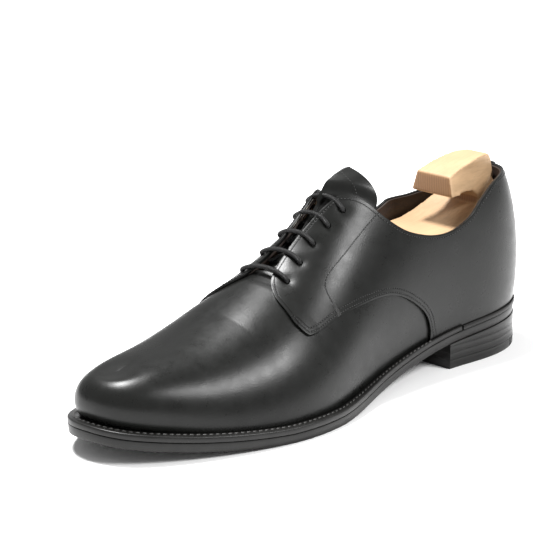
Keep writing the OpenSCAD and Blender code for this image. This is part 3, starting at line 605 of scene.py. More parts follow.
def waxed_thread():
    c = tuple(finishes().thread)
    s = Shader("waxed_thread", c, 0.42)
    twist = s.noise(2200, 2, 0.5, s.mapped(scale=(1, 1, 1.6)))
    s.colour(s.mix(twist, shade_of(c, 0.7), shade_of(c, 1.8)))
    s.roughness(s.spread(twist, 0.34, 0.55))
    s.bump((twist, 0.00005))
    return s.material


def welt_thread():
    s = Shader("welt_thread", (0.03, 0.03, 0.028), 0.4)
    twist = s.noise(1600, 2)
    s.colour(s.mix(twist, (0.02, 0.02, 0.019), (0.06, 0.058, 0.055)))
    s.roughness(s.spread(twist, 0.3, 0.5))
    s.bump((twist, 0.00008))
    return s.material


def beech():
    """Side grain runs along the shoe; the faces cut across it show the end grain."""
    side, end = tuple(finishes().beech), tuple(finishes().beech_end)
    s = Shader("beech", side, 0.5, Specular_IOR_Level=0.35)
    rings = s.bands(26, s.mapped(scale=(0.22, 1, 1.5), turn=(0.35, 0.02, 0.05)), "Z", 5, 3)
    streaks = s.noise(700, 4, 0.6, s.mapped(scale=(0.035, 1, 1)))
    flecks = s.cells(900, s.mapped(scale=(0.12, 1, 0.7)))
    tone = s.mix(s.spread(rings, 0, 0.5), side, shade_of(side, 0.8))
    tone = s.mix(s.spread(streaks, 0, 0.7, 0.4, 0.75), tone, shade_of(side, 0.74))
    tone = s.mix(s.spread(flecks, 0.5, 0, 0.0, 0.22), tone, shade_of(side, 0.6))
    mask = s.add("ShaderNodeAttribute", attribute_name="end_grain").outputs["Fac"]
    lines = s.bands(190, s.mapped(turn=(0.12, 0, 0)), "Y", 2.5, 3)
    dark = s.mix(s.spread(lines, 0, 0.65), end, shade_of(end, 0.7))
    s.colour(s.mix(mask, tone, dark))
    s.roughness(s.spread(streaks, 0.42, 0.6))
    s.bump((s.noise(60, 3), 0.0002), (streaks, 0.00006), (flecks, 0.00004))
    return s.material


def steel():
    s = Shader("steel", (0.6, 0.6, 0.61), 0.28, Metallic=1.0)
    drawn = s.noise(900, 3, 0.6, s.mapped(scale=(0.04, 1, 1)))
    s.colour(s.mix(drawn, (0.5, 0.5, 0.51), (0.68, 0.68, 0.69)))
    s.roughness(s.spread(drawn, 0.2, 0.4))
    s.bump((drawn, 0.00002))
    return s.material


def brass(name="brass", share=1.0):
    s = Shader(name, shade_of((0.68, 0.48, 0.2), share), 0.35, Metallic=1.0)
    worn = s.noise(400, 3)
    s.colour(s.mix(worn, shade_of((0.6, 0.41, 0.16), share), shade_of((0.74, 0.55, 0.26), share)))
    s.roughness(s.spread(worn, 0.26, 0.46))
    s.bump((worn, 0.00003))
    return s.material


def plain_board(name, colour, depth=0.00008):
    """Undyed inner parts: leather board, cork and tape."""
    s = Shader(name, colour, 0.7)
    mottle, fibre = s.noise(180, 4, 0.6), s.noise(1500, 3, 0.6)
    s.colour(s.mix(mottle, shade_of(colour, 0.8), shade_of(colour, 1.12)))
    s.roughness(s.spread(fibre, 0.6, 0.85))
    s.bump((mottle, depth * 2), (fibre, depth))
    return s.material


FINISHES = {
    "polished_calf": polished_calf, "lining_calf": lining_calf, "sole_edge": sole_edge,
    "heel_stack": heel_stack, "heel_rubber": heel_rubber, "waxed_lace": waxed_lace,
    "waxed_thread": waxed_thread, "welt_thread": welt_thread, "beech": beech, "steel": steel,
    "brass": brass, "dark_brass": lambda: brass("dark_brass", 0.03),
    "insole": lambda: plain_board("insole", (0.5, 0.33, 0.19)),
    "board": lambda: plain_board("board", (0.45, 0.36, 0.25)),
    "cork": lambda: plain_board("cork", (0.36, 0.22, 0.11), 0.0002),
    "tape": lambda: plain_board("tape", (0.6, 0.57, 0.5)),
}
INNER_FINISH = {
    "insole": "insole", "insole_rib": "tape", "cork_filler": "cork", "shank": "steel",
    "sock_pad": "lining_calf", "toe_puff": "board", "heel_counter": "board",
    "vamp_lining": "lining_calf", "facing_stay_lateral": "tape", "facing_stay_medial": "tape",
    "hidden_eyelets": "dark_brass", "lace_tips": "heel_rubber", "heel_nails": "brass",
    "toe_block_lateral": "beech", "toe_block_medial": "beech", "toe_guide_pins": "steel",
    "tree_leaf": "steel", "tree_tube": "steel", "tree_spring": "steel", "tree_rod": "steel",
    "tree_pin": "steel",
}


# ---- Stitch rows, by geometry nodes ----
def stitch_tree():
    """Stitches laid along a seam line: one thread loop at each step, turned to the seam."""
    tree = bpy.data.node_groups.new("Stitches", "GeometryNodeTree")
    face = tree.interface
    face.new_socket("Seam", in_out="INPUT", socket_type="NodeSocketGeometry")
    for name, value in (("Spacing", 0.0016), ("Length", 0.0012), ("Width", 0.0004),
                        ("Height", 0.0003), ("Slant", 0.0), ("Uneven", 0.06)):
        face.new_socket(name, in_out="INPUT", socket_type="NodeSocketFloat").default_value = value
    face.new_socket("Seed", in_out="INPUT", socket_type="NodeSocketInt").default_value = 4
    face.new_socket("Thread", in_out="INPUT", socket_type="NodeSocketMaterial")
    face.new_socket("Stitches", in_out="OUTPUT", socket_type="NodeSocketGeometry")
    new, link = tree.nodes.new, tree.links.new
    given, result = new("NodeGroupInput"), new("NodeGroupOutput")
    curve, evened = new("GeometryNodeMeshToCurve"), new("GeometryNodeResampleCurve")
    evened.mode = "LENGTH"
    loop = new("GeometryNodeMeshUVSphere")
    loop.inputs["Segments"].default_value, loop.inputs["Rings"].default_value = 8, 6
    loop.inputs["Radius"].default_value = 0.5
    size, tangent, up = new("ShaderNodeCombineXYZ"), new("GeometryNodeInputTangent"), new(
        "GeometryNodeInputNamedAttribute")
    up.data_type = "FLOAT_VECTOR"
    up.inputs["Name"].default_value = "up"
    along, lift = new("FunctionNodeAlignRotationToVector"), new(
        "FunctionNodeAlignRotationToVector")
    along.axis, lift.axis, lift.pivot_axis = "X", "Z", "X"
    uneven, slant = new("FunctionNodeRandomValue"), new("FunctionNodeRotateRotation")
    slant.rotation_space = "LOCAL"
    low, high, total = (new("ShaderNodeMath") for _ in range(3))
    low.operation, high.operation, total.operation = "MULTIPLY", "MULTIPLY", "ADD"
    turn, place = new("ShaderNodeCombineXYZ"), new("GeometryNodeInstanceOnPoints")
    real, finish = new("GeometryNodeRealizeInstances"), new("GeometryNodeSetMaterial")
    euler = new("FunctionNodeEulerToRotation")
    link(given.outputs["Seam"], curve.inputs["Mesh"])
    link(curve.outputs["Curve"], evened.inputs["Curve"])
    link(given.outputs["Spacing"], evened.inputs["Length"])
    link(given.outputs["Length"], size.inputs["X"])
    link(given.outputs["Width"], size.inputs["Y"])
    link(given.outputs["Height"], size.inputs["Z"])
    link(tangent.outputs["Tangent"], along.inputs["Vector"])
    link(along.outputs["Rotation"], lift.inputs["Rotation"])
    link(up.outputs["Attribute"], lift.inputs["Vector"])
    for node, factor in ((low, -1.0), (high, 1.0)):
        link(given.outputs["Uneven"], node.inputs[0])
        node.inputs[1].default_value = factor
    link(low.outputs[0], uneven.inputs[2])
    link(high.outputs[0], uneven.inputs[3])
    link(given.outputs["Seed"], uneven.inputs["Seed"])
    link(uneven.outputs[1], total.inputs[0])
    link(given.outputs["Slant"], total.inputs[1])
    link(total.outputs[0], turn.inputs["Z"])
    link(turn.outputs[0], euler.inputs[0])
    link(lift.outputs["Rotation"], slant.inputs["Rotation"])
    link(euler.outputs[0], slant.inputs["Rotate By"])
    link(evened.outputs["Curve"], place.inputs["Points"])
    link(loop.outputs["Mesh"], place.inputs["Instance"])
    link(slant.outputs["Rotation"], place.inputs["Rotation"])
    link(size.outputs[0], place.inputs["Scale"])
    link(place.outputs["Instances"], real.inputs["Geometry"])
    link(real.outputs["Geometry"], finish.inputs["Geometry"])
    link(given.outputs["Thread"], finish.inputs["Material"])
    link(finish.outputs["Geometry"], result.inputs["Stitches"])
    return tree


def sew(name, seams, thread, **inputs):
    """Sews rows of stitches along seams, each a pair of points and upward directions."""
    tree = bpy.data.node_groups.get("Stitches") or stitch_tree()
    verts, ups, edges = [], [], []
    for points, up in seams:
        start = len(verts)
        verts += (points * MM).tolist()
        ups += up.tolist()
        edges += [(start + i, start + i + 1) for i in range(len(points) - 1)]
    mesh = bpy.data.meshes.new(name)
    mesh.from_pydata(verts, edges, [])
    mesh.attributes.new("up", "FLOAT_VECTOR", "POINT").data.foreach_set(
        "vector", np.array(ups, np.float32).ravel())
    obj = bpy.data.objects.new(name, mesh)
    bpy.context.scene.collection.objects.link(obj)
    rows = obj.modifiers.new("Stitches", "NODES")
    rows.node_group = tree
    key = {s.name: s.identifier for s in tree.interface.items_tree if s.in_out == "INPUT"}
    rows[key["Thread"]] = thread
    for socket, value in inputs.items():
        rows[key[socket]] = value
    obj.update_tag()
    bpy.context.view_layer.update()
    apply_modifiers(obj)
    if not obj.data.materials:
        obj.data.materials.append(thread)
    shade(obj, 180)
    return obj


def upper_stitch(height=0.34):
    """The stitch of the upper seams, as inputs of the stitch tree."""
    return {"Spacing": (in_mm("stitch") + 0.5) * MM, "Length": in_mm("stitch") * MM,
            "Width": in_mm("thread") * MM, "Height": height * MM}


def seam_line(path, side, inset, lift, off=QUARTER_OUT):
    """A seam that keeps a distance inset from a pattern line, on the surface of the leather."""
    q, v = path[:, 0], path[:, 1]
    p, n = skin(side * q, v, off), normal(side * q, v)
    along = unit(np.gradient(p, axis=0))
    inwards = np.cross(n, along) * -side
    return p + inwards * inset + n * lift, n


# ---- Bottom ----
def layer_plate(name, qs, outline, finish, across=8):
    """A layer of the sole or heel. outline(q) gives rows of (out from the feather, height)."""
    left = np.array([edge_point(-qs, ext, z) for ext, z in outline(qs)]).transpose(1, 0, 2)
    right = np.array([edge_point(qs, ext, z) for ext, z in outline(qs)]).transpose(1, 0, 2)
    t = np.linspace(0, 1, across + 1)[1:-1]
    over = left[:, -1:, :] + (right[:, -1:, :] - left[:, -1:, :]) * t[None, :, None]
    under = right[:, :1, :] + (left[:, :1, :] - right[:, :1, :]) * t[None, :, None]
    rings = np.concatenate([left, over, right[:, ::-1], under], 1)
    return sweep(name, rings, material(finish))


def rounded(low, high, radius, ext, tuck=0.0):
    """The edge of a layer, from its underside to its top, with both corners rounded."""
    turn = [0, 0.5, 1]

    def outline(q):
        lo, hi, out = low(q), high(q), ext(q)
        rows = []
        for t in turn:
            a = t * math.pi / 2
            rows.append((out - tuck - radius * (1 - math.sin(a)), lo + radius * (1 - math.cos(a))))
        for t in turn[::-1]:
            a = t * math.pi / 2
            rows.append((out - radius * (1 - math.sin(a)), hi - radius * (1 - math.cos(a))))
        return rows
    return outline


def even_stations(start, end, count):
    """Stations whose points lie evenly along the outline."""
    q = np.linspace(start, end, 900)
    run = np.concatenate([[0], np.cumsum(np.linalg.norm(np.diff(feather(q), axis=0), axis=1))])
    return np.interp(np.linspace(0, run[-1], count), run, q)


class SHOE_OT_bottom(bpy.types.Operator):
    """Outsole, welt, heel and the small pieces round them"""
    bl_idname = "shoe.bottom"
    bl_label = "Bottom"

    def execute(self, context):
        whole = even_stations(0, 11, 230)
        whole[0], whole[-1] = 0, 11
        sole = layer_plate("outsole_leather", whole, rounded(
            sole_low, lambda q: sole_low(q) + OUTSOLE - 0.25, 0.5,
            lambda q: sole_ext(q) - 0.15, 0.35), "sole_edge")
        settle(sole, "shoe", "sole_leather", "outsole")
        self.welt()
        self.heel()
        return {"FINISHED"}

    def welt(self):
        side = even_stations(0, WELT_END, 330)
        u = np.concatenate([-side[::-1], side[1:]])
        ext, top = sole_ext(u), feather_z(u)
        inner = 0.12 + (QUARTER_OUT - 0.02) * smooth((np.abs(u) - 7.0) / 0.35)
        profile = [(inner, top - WELT), (inner, top - 1.2), (inner + 0.35, top - 0.45),
                   (inner + 0.8, top - 0.12), (inner + 1.2, top), (ext - 0.7, top),
                   (ext - 0.25, top - 0.12), (ext, top - 0.45), (ext, top - WELT + 0.4),
                   (ext - 0.15, top - WELT + 0.12), (ext - 0.5, top - WELT)]
        rings = np.array([edge_point(u, e, z) for e, z in profile]).transpose(1, 0, 2)
        settle(sweep("welt_leather", rings, material("sole_edge")), "shoe", "sole_leather",
               "welt")
        side = even_stations(0, 7.25, 260)
        u = np.concatenate([-side[::-1], side[1:]])
        p = edge_point(u, np.maximum(sole_ext(u) * 0.52, QUARTER_OUT + 0.9), feather_z(u) + 0.1)
        up = np.tile([0.0, 0.0, 1.0], (len(u), 1))
        stitch = in_mm("welt_stitch")
        row = sew("welt_stitching", [(p, up)], material("welt_thread"),
                  Spacing=(stitch + 0.75) * MM, Length=stitch * MM,
                  Width=1.0 * MM, Height=0.75 * MM, Slant=0.16, Uneven=0.05, Seed=3)
        settle(row, "shoe", "thread", "welt_stitches")

    def heel(self):
        around = even_stations(BREAST, 11, 110)
        around[-1] = 11
        lift_low = TOP_PIECE + 0.1
        lift = (float(sole_low(BREAST)) - lift_low) / 2.3

        def level(z):
            return lambda q: np.full(len(q), float(z))

        def edge(inset):
            return lambda q: SEAT_WIDTH - inset + 0 * q
        joint = 0.05
        layers = [
            ("heel_lift_low", level(lift_low), level(lift_low + lift - joint), 0.05,
             "heel_lift_bottom", 0.07),
            ("heel_lift_mid", level(lift_low + lift), level(lift_low + 2 * lift - joint), 0.04,
             "heel_lift_middle", 0.07),
            ("heel_lift_high", level(lift_low + 2 * lift), lambda q: sole_low(q) - joint, 0.03,
             "heel_lift_top", 0.07)]
        for name, low, high, inset, node, radius in layers:
            settle(layer_plate(name, around, rounded(low, high, radius, edge(inset)),
                               "heel_stack"), "shoe", "sole_leather", node)
        front = around[around < TIP_STATION]
        back = np.concatenate([[TIP_STATION + 0.02], around[around > TIP_STATION + 0.03]])
        foot = rounded(level(0), level(TOP_PIECE), 0.35, edge(0.0), 0.2)
        settle(layer_plate("top_piece_leather", front, foot, "heel_stack"), "shoe",
               "sole_leather", "top_piece")
        settle(layer_plate("heel_tip_rubber", back, foot, "heel_rubber"), "shoe",
               "heel_rubber", "rubber_tip")
        u = np.linspace(WELT_END + 0.02, 22 - WELT_END - 0.02, 260)
        top = feather_z(u) - 0.5
        profile = [(QUARTER_OUT + 0.1, top - 2.6), (QUARTER_OUT + 0.1, top - 0.5),
                   (QUARTER_OUT + 0.45, top), (SEAT_WIDTH + 0.2, top - 0.1),
                   (SEAT_WIDTH + 0.45, top - 0.5), (SEAT_WIDTH + 0.45, top - 2.3),
                   (SEAT_WIDTH + 0.1, top - 2.65)]
        rings = np.array([edge_point(u, e + 0 * u, z) for e, z in profile]).transpose(1, 0, 2)
        settle(sweep("heel_rand_leather", rings, material("sole_edge")), "shoe",
               "sole_leather", "heel_rand")


# ---- Upper ----
def spread_columns(curve_low, curve_high, side, start, end, count):
    """Columns of a quarter, spread by the length of both of its edges."""
    q = np.linspace(start, end, 3000)
    run = np.zeros(len(q))
    for curve in (curve_low, curve_high):
        p = last(side * q, np.clip(curve(q), 0, 1))
        run[1:] += np.cumsum(np.linalg.norm(np.diff(p, axis=0), axis=1))
    return np.interp(np.linspace(0, run[-1], count), run, q)


FRONT_ROUND, FRONT_MIDDLE = 0.11, 0.575


def round_front(q, v):
    """Draws the front of the quarter in to a rounded end."""
    t = np.clip((q - QUARTER_FRONT) / FRONT_ROUND, 0, 1)
    return FRONT_MIDDLE + (v - FRONT_MIDDLE) * np.sqrt(1 - (1 - t) ** 2)


def quarter_low(q):
    return np.where(q > 7.31, 0.0, round_front(q, at_station(LOW_CURVE, q)))


def quarter_high(q, side=-1):
    dip = at_station(DIP_CURVE, q) if side > 0 else 0
    return round_front(q, at_station(HIGH_CURVE, q) - dip)


def facing_relief(q, v):
    """The facing dips round each hole."""
    dip = np.zeros(np.broadcast(q, v).shape)
    for a, b in EYELETS:
        r2 = ((q - a) * 24) ** 2 + ((v - b) * 58) ** 2
        dip -= 0.55 * np.exp(-r2 / 7.5)
    return dip


class SHOE_OT_upper(bpy.types.Operator):
    """Vamp, quarters, linings and back strip"""
    bl_idname = "shoe.upper"
    bl_label = "Upper"

    def execute(self, context):
        self.vamp()
        for side, name in ((-1, "lateral"), (1, "medial")):
            self.quarter(side, name)
            self.lining(side, name)
        self.back_strip()
        return {"FINISHED"}

    def vamp(self):
        side = np.unique(np.concatenate([
            even_stations(0, THROAT, 230), np.linspace(THROAT, 5.3, 26),
            np.linspace(5.3, WING_END, 90)]))
        u = np.concatenate([-side[::-1], side[1:]])
        q = np.abs(u)
        high = np.where(q <= THROAT, 1.0, at_station(VAMP_CURVE, q))
        v = rows_between(u, 0 * u, high, 72)
        v = np.concatenate([np.full((len(u), 1), -1.0), np.full((len(u), 1), -0.4), v], 1)
        grid = np.repeat(u[:, None], v.shape[1], 1)
        sink = -1.1 * smooth((np.abs(grid) - 4.6) / 0.4) * smooth((v - 0.72) / 0.16)
        outer = skin(grid, v, sink)
        inner = skin(grid, v, sink - UPPER)
        vamp = shell("vamp_leather", outer, inner, material("polished_calf"),
                     set(np.flatnonzero(q <= THROAT).tolist()))
        settle(vamp, "shoe", "upper_leather", "vamp")

    def quarter(self, side, name):
        q = spread_columns(quarter_low, quarter_high, side, QUARTER_FRONT, 10.996, 330)
        q = np.unique(np.concatenate([q, QUARTER_FRONT + FRONT_ROUND
                                      * (1 - np.cos(np.linspace(0, math.pi / 2, 14)))]))
        low, high = quarter_low(q), quarter_high(q, side)
        u = side * q
        v = rows_between(u, low, high, 54)
        foot = smooth((q - 7.28) / 0.05)[:, None]
        v = np.concatenate([low[:, None] - foot, low[:, None] - 0.4 * foot, v[:, 1:]], 1)
        grid, qq = np.repeat(u[:, None], v.shape[1], 1), np.repeat(q[:, None], v.shape[1], 1)
        relief = facing_relief(qq, v)
        order = slice(None) if side > 0 else slice(None, None, -1)
        outer = skin(grid, v, QUARTER_OUT + relief)[order]
        inner = skin(grid, v, QUARTER_IN + relief * 0.8)[order]
        piece = shell("quarter_" + name + "_leather", outer, inner, material("polished_calf"))
        soften(piece, in_mm("edge"), 2, 55)
        self.punch(piece, side)
        low_line, high_line = np.stack([q, low], 1), np.stack([q, high], 1)
        for key, path in (("from_low", low_line[q < 7.32]), ("from_high", high_line)):
            path = fill_in(path, 3)
            mark_distance(piece, key, skin(side * path[:, 0], path[:, 1], QUARTER_OUT))
        path = through(FANCY_LINE, 60)
        line, n = seam_line(path, side, 0, 0)
        mark_distance(piece, "from_line", line, np.cross(n, unit(np.gradient(line, axis=0))))
        settle(piece, "shoe", "upper_leather", "quarter_" + name)

    def punch(self, piece, side):
        """Punches the eyelet holes through the facing."""
        rings = []
        for a, b in EYELETS:
            n = normal(np.array([side * a]), np.array([b]))[0]
            c = skin(np.array([side * a]), np.array([b]), 0)[0]
            x = unit(np.cross(n, [0.3, 1, 0.2]))
            y = np.cross(n, x)
            turn = np.linspace(0, 2 * math.pi, 28, endpoint=False)
            disc = (np.cos(turn)[:, None] * x + np.sin(turn)[:, None] * y) * in_mm("eyelet") / 2
            rings.append(np.stack([c + disc + n * h for h in (-4, 4)]))
        verts = np.concatenate([r.reshape(-1, 3) for r in rings])
        faces = []
        for k in range(len(rings)):
            faces += [tuple(56 * k + i for i in range(27, -1, -1)),
                      tuple(56 * k + 28 + i for i in range(28))]
            faces += [(56 * k + i, 56 * k + (i + 1) % 28, 56 * k + 28 + (i + 1) % 28,
                       56 * k + 28 + i) for i in range(28)]
        punch = make_object("punch", verts, faces, material("polished_calf"), merge=0)
        cut = piece.modifiers.new("Holes", "BOOLEAN")
        cut.object, cut.operation, cut.solver = punch, "DIFFERENCE", "EXACT"
        apply_modifiers(piece)
        bpy.data.objects.remove(punch)
        shade(piece)

    def lining(self, side, name):
        q = spread_columns(quarter_low, quarter_high, side, 4.75, 10.996, 240)
        u = side * q
        high = quarter_high(q, side) - 0.004 - 0.02 * (1 - smooth((q - 6.75) / 0.15))
        v = rows_between(u, 0 * q, high, 60)
        v = np.concatenate([np.full((len(q), 1), -1.0), v], 1)
        grid, qq = np.repeat(u[:, None], v.shape[1], 1), np.repeat(q[:, None], v.shape[1], 1)
        facing = smooth((v - 0.55) / 0.1) * (1 - smooth((qq - 6.9) / 0.8))
        depth = DEEP_LINING + (FACING_LINING - DEEP_LINING) * facing
        # Towards the topline the lining comes up against the quarter
        rim = smooth(1 - (high[:, None] - v) / 0.05) * smooth((qq - 6.75) / 0.2)
        depth = depth + (QUARTER_IN - 0.02 - depth) * rim
        order = slice(None) if side > 0 else slice(None, None, -1)
        piece = shell("quarter_lining_" + name, skin(grid, v, depth)[order],
                      skin(grid, v, depth - LINING)[order], material("lining_calf"))
        soften(piece, 0.35, 2, 55)
        settle(piece, "shoe", "lining_leather", "quarter_lining_" + name)

    def back_strip(self):
        u = np.linspace(10.74, 11.26, 40)
        v = np.linspace(0.36, 0.553, 26)
        grid, vv = np.meshgrid(u, v, indexing="ij")
        waist = 1 - 0.35 * smooth((vv - 0.36) / 0.1)
        grid = 11 + (grid - 11) * waist
        piece = shell("back_strip_leather", skin(grid, vv, QUARTER_OUT + 0.95),
                      skin(grid, vv, QUARTER_OUT - 0.3), material("polished_calf"))
        soften(piece, 0.35, 2, 55)
        settle(piece, "shoe", "upper_leather", "back_strip")


# ---- Tongue ----
def tongue_depth(q):
    sunk = -2.3 - 2.5 * smooth((q - 4.85) / 0.35)
    under_facing = sunk + (-2.0 - sunk) * smooth((q - 6.58) / 0.18)
    return under_facing + (-0.15 - under_facing) * smooth((q - 6.82) / 0.3)


TONGUE_END = [(0.77, 28.8), (0.79, 30.6), (0.82, 32.2), (0.88, 33.3), (0.94, 32.9), (1, 32.2)]


def tongue_top(v):
    """Stations of the top edge of the tongue, from how far back each of its points lies."""
    v = np.asarray(v, float)
    target, q = at_station(through(TONGUE_END), v), np.linspace(6.4, 8.6, 160)
    return np.array([np.interp(x, last(q, np.full(160, a))[:, 0], q)
                     for a, x in zip(v.ravel(), target.ravel())]).reshape(v.shape)


def tongue_grid(start, rows, across, depth):
    t = np.linspace(-1, 1, across)
    v = 1 - np.abs(t) * (1 - TONGUE_EDGE)
    q = start + (tongue_top(v)[None, :] - start) * np.linspace(0, 1, rows)[:, None]
    sign = np.where(t < 0, -1.0, 1.0)[None, :]
    # The free end is broader than the part between the facings
    broad = smooth((q - 6.6) / 0.25) * (1 - 0.75 * smooth((q - 6.95) / 0.4))
    wide = 1 - (1 - v)[None, :] * (1 + 0.36 * broad)
    return skin(q * sign, wide, depth(q)), q, v


class SHOE_OT_tongue(bpy.types.Operator):
    """Tongue and its row of stitches"""
    bl_idname = "shoe.tongue"
    bl_label = "Tongue"

    def execute(self, context):
        outer, q, _ = tongue_grid(4.7, 150, 61, tongue_depth)
        inner = tongue_grid(4.7, 150, 61, lambda q: tongue_depth(q) - 2.1)[0]
        tongue = shell("tongue_leather", outer, inner, material("polished_calf"))
        soften(tongue, 0.6, 3, 55)
        v = 1 - np.abs(np.linspace(-1, 1, 60)) * (1 - TONGUE_EDGE - 0.035)
        sign = np.where(np.linspace(-1, 1, 60) < 0, -1.0, 1.0)
        band = tongue_top(v) - 0.24
        n = normal(band * sign, v)
        row = sew("tongue_stitching", [(skin(band * sign, v, tongue_depth(band) + 0.02), n)],
                  material("waxed_thread"), **upper_stitch(height=0.35), Seed=9)
        for piece in (tongue, row):
            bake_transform(piece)
        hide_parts("tongue", "tongue_tip")
        return {"FINISHED"}


# ---- Lace ----
def eyelet_at(k, side, off):
    a, b = EYELETS[k]
    return skin(np.array([side * a]), np.array([b]), off)[0]


def lace_route(diameter):
    """One lace: straight bars over the facings, slanting runs under them, ends tucked in."""
    height = QUARTER_OUT + diameter / 2 + 0.1

    def bar(k):
        a, b = eyelet_at(k, -1, height), eyelet_at(k, 1, height)
        rise = ridge(np.array(EYELETS[k][0]))[2] + QUARTER_OUT + diameter * 0.72 - (a[2] + b[2]) / 2
        over = [a + (b - a) * t + np.array([0, 0, rise * (1 - abs(2 * t - 1) ** 2.2)])
                for t in (0.2, 0.35, 0.5, 0.65, 0.8)]
        return ([eyelet_at(k, -1, -0.6), eyelet_at(k, -1, 0.9), a + np.array([0, 0.9, 0])]
                + over + [b + np.array([0, -0.9, 0]), eyelet_at(k, 1, 0.9),
                          eyelet_at(k, 1, -0.6)])

    def under(k):
        a, b = eyelet_at(k, 1, LACE_DEPTH), eyelet_at(k + 1, -1, LACE_DEPTH)
        middle = ridge(np.array((EYELETS[k][0] + EYELETS[k + 1][0]) / 2))[2]
        rise = middle + LACE_DEPTH - (a[2] + b[2]) / 2
        return [a + (b - a) * t + np.array([0, 0, rise * (1 - abs(2 * t - 1) ** 2)])
                for t in (0.04, 0.3, 0.5, 0.7, 0.96)]

    def tail(k, side, way, steps):
        a, b = EYELETS[k]
        return [skin(np.array([side * (a + way * 0.045 * d)]), np.array([b - 0.003 * d]),
                     LACE_DEPTH)[0] for d in steps]
    points = tail(0, -1, 1, (13, 9, 5, 1))
    for k in range(len(EYELETS)):
        points += bar(k) + (under(k) if k < len(EYELETS) - 1 else [])
    return np.array(points + tail(len(EYELETS) - 1, 1, -1, (1, 5, 9, 13)))


def round_bar(name, path, radius, finish, around=16):
    """A round cord along a path, with its own map of turns and length."""
    p = through(path, 9)
    t = unit(np.gradient(p, axis=0))
    side, rings = np.array([0.0, 0.0, 1.0]), []
    run = np.concatenate([[0], np.cumsum(np.linalg.norm(np.diff(p, axis=0), axis=1))])
    turn = np.linspace(0, 2 * math.pi, around, endpoint=False)
    for point, d in zip(p, t):
        side = unit(side - d * (side @ d))
        rings.append(point + radius * (np.cos(turn)[:, None] * side
                                       + np.sin(turn)[:, None] * np.cross(d, side)))
    rings = np.array(rings)
    n = len(p)
    obj = sweep(name, rings, material(finish))
    # The map runs in thread widths, so that the braid keeps its size along the lace
    uv = np.stack([np.repeat(run[:, None], around, 1) / 0.95,
                   np.repeat(turn[None, :] / (2 * math.pi) * 6, n, 0)], -1).reshape(-1, 2)
    layer = obj.data.uv_layers.new(name="UVMap")
    for poly in obj.data.polygons:
        ids = list(poly.vertices)
        wraps = max(uv[i][1] for i in ids if i < len(uv)) > 4.5
        for loop in poly.loop_indices:
            i = obj.data.loops[loop].vertex_index
            x, y = uv[min(i, len(uv) - 1)]
            layer.data[loop].uv = (x, y + 6 if wraps and y < 1.5 else y)
    return obj


class SHOE_OT_lacing(bpy.types.Operator):
    """Round waxed lace"""
    bl_idname = "shoe.lacing"
    bl_label = "Lacing"

    def execute(self, context):
        d = in_mm("lace")
        lace = round_bar("lace_cord", lace_route(d), d / 2, "waxed_lace")
        settle(lace, "shoe", "waxed_lace", "lace")
        return {"FINISHED"}


# ---- Stitching of the upper ----
def part_of(curve, start, end):
    keep = (curve[:, 0] >= start) & (curve[:, 0] <= end)
    return curve[keep]


class SHOE_OT_stitching(bpy.types.Operator):
    """Seams of the upper, sewn row by row"""
    bl_idname = "shoe.stitching"
    bl_label = "Stitching"

    def execute(self, context):
        for side, name in ((-1, "lateral"), (1, "medial")):
            q = np.linspace(QUARTER_FRONT, 11, 2400)
            low = np.stack([q, quarter_low(q)], 1)
            high = np.stack([q, quarter_high(q, side)], 1)
            seams = [seam_line(part_of(low, 4.53, 7.3), side, 1.5, 0.06),
                     seam_line(part_of(low, 4.56, 7.28), side, 3.6, 0.06),
                     seam_line(part_of(high, 4.53, 6.86), side, -1.7, 0.06),
                     seam_line(part_of(high, 6.84, 10.72), side, -1.9, 0.06),
                     seam_line(through(FANCY_LINE, 40), side, 0, 0.06)]
            mid = [seam_line(part_of(low, 4.53, 4.55), side, 1.5, 0.06)[0][0],
                   seam_line(part_of(high, 4.53, 4.55), side, -1.7, 0.06)[0][0]]
            nose = skin(np.array([side * (QUARTER_FRONT + 0.065)]), np.array([FRONT_MIDDLE]),
                        QUARTER_OUT + 0.06)[0]
            bend = through([mid[0], nose, mid[1]], 30)
            seams.append((bend, np.repeat(normal(np.array([side * 4.5]), np.array(
                [FRONT_MIDDLE])), len(bend), 0)))
            row = sew("stitching_" + name, seams, material("waxed_thread"),
                      **upper_stitch(), Uneven=0.05, Seed=5 + side)
            settle(row, "shoe", "thread")
        self.bar_tacks()
        self.back_rows()
        return {"FINISHED"}

    def bar_tacks(self):
        """Short bars of close stitches where the front of each quarter takes the strain."""
        seams = []
        for side in (-1, 1):
            for shift in (0.0, 0.022, 0.044):
                v = np.linspace(0.437, 0.505, 12)
                u = np.full(12, side * (5.185 + shift))
                seams.append((skin(u, v, QUARTER_OUT + 0.12), normal(u, v)))
        row = sew("bar_tacks", seams, material("waxed_thread"), Spacing=0.55 * MM,
                  Length=1.3 * MM, Width=0.5 * MM, Height=0.5 * MM, Slant=1.45, Seed=2)
        settle(row, "shoe", "thread")

    def back_rows(self):
        seams = []
        for way in (-1, 1):
            v = np.linspace(0.375, 0.54, 40)
            u = 11 + way * (0.26 * (1 - 0.35 * smooth((v - 0.36) / 0.1)) - 0.05)
            seams.append((skin(u, v, QUARTER_OUT + 0.98), normal(u, v)))
        row = sew("back_strip_stitching", seams, material("waxed_thread"),
                  **upper_stitch(), Seed=8)
        settle(row, "shoe", "thread")


# ---- Shoe tree ----
def smooth_outline(points, corners, count=10):
    """A closed outline that is smooth but for its named corners."""
    n, out = len(points), []
    cuts = sorted(corners)
    for a, b in zip(cuts, cuts[1:] + [cuts[0] + n]):
        run = [points[i % n] for i in range(a, b + 1)]
        out.append(through(run, count)[:-1])
    return np.vstack(out)


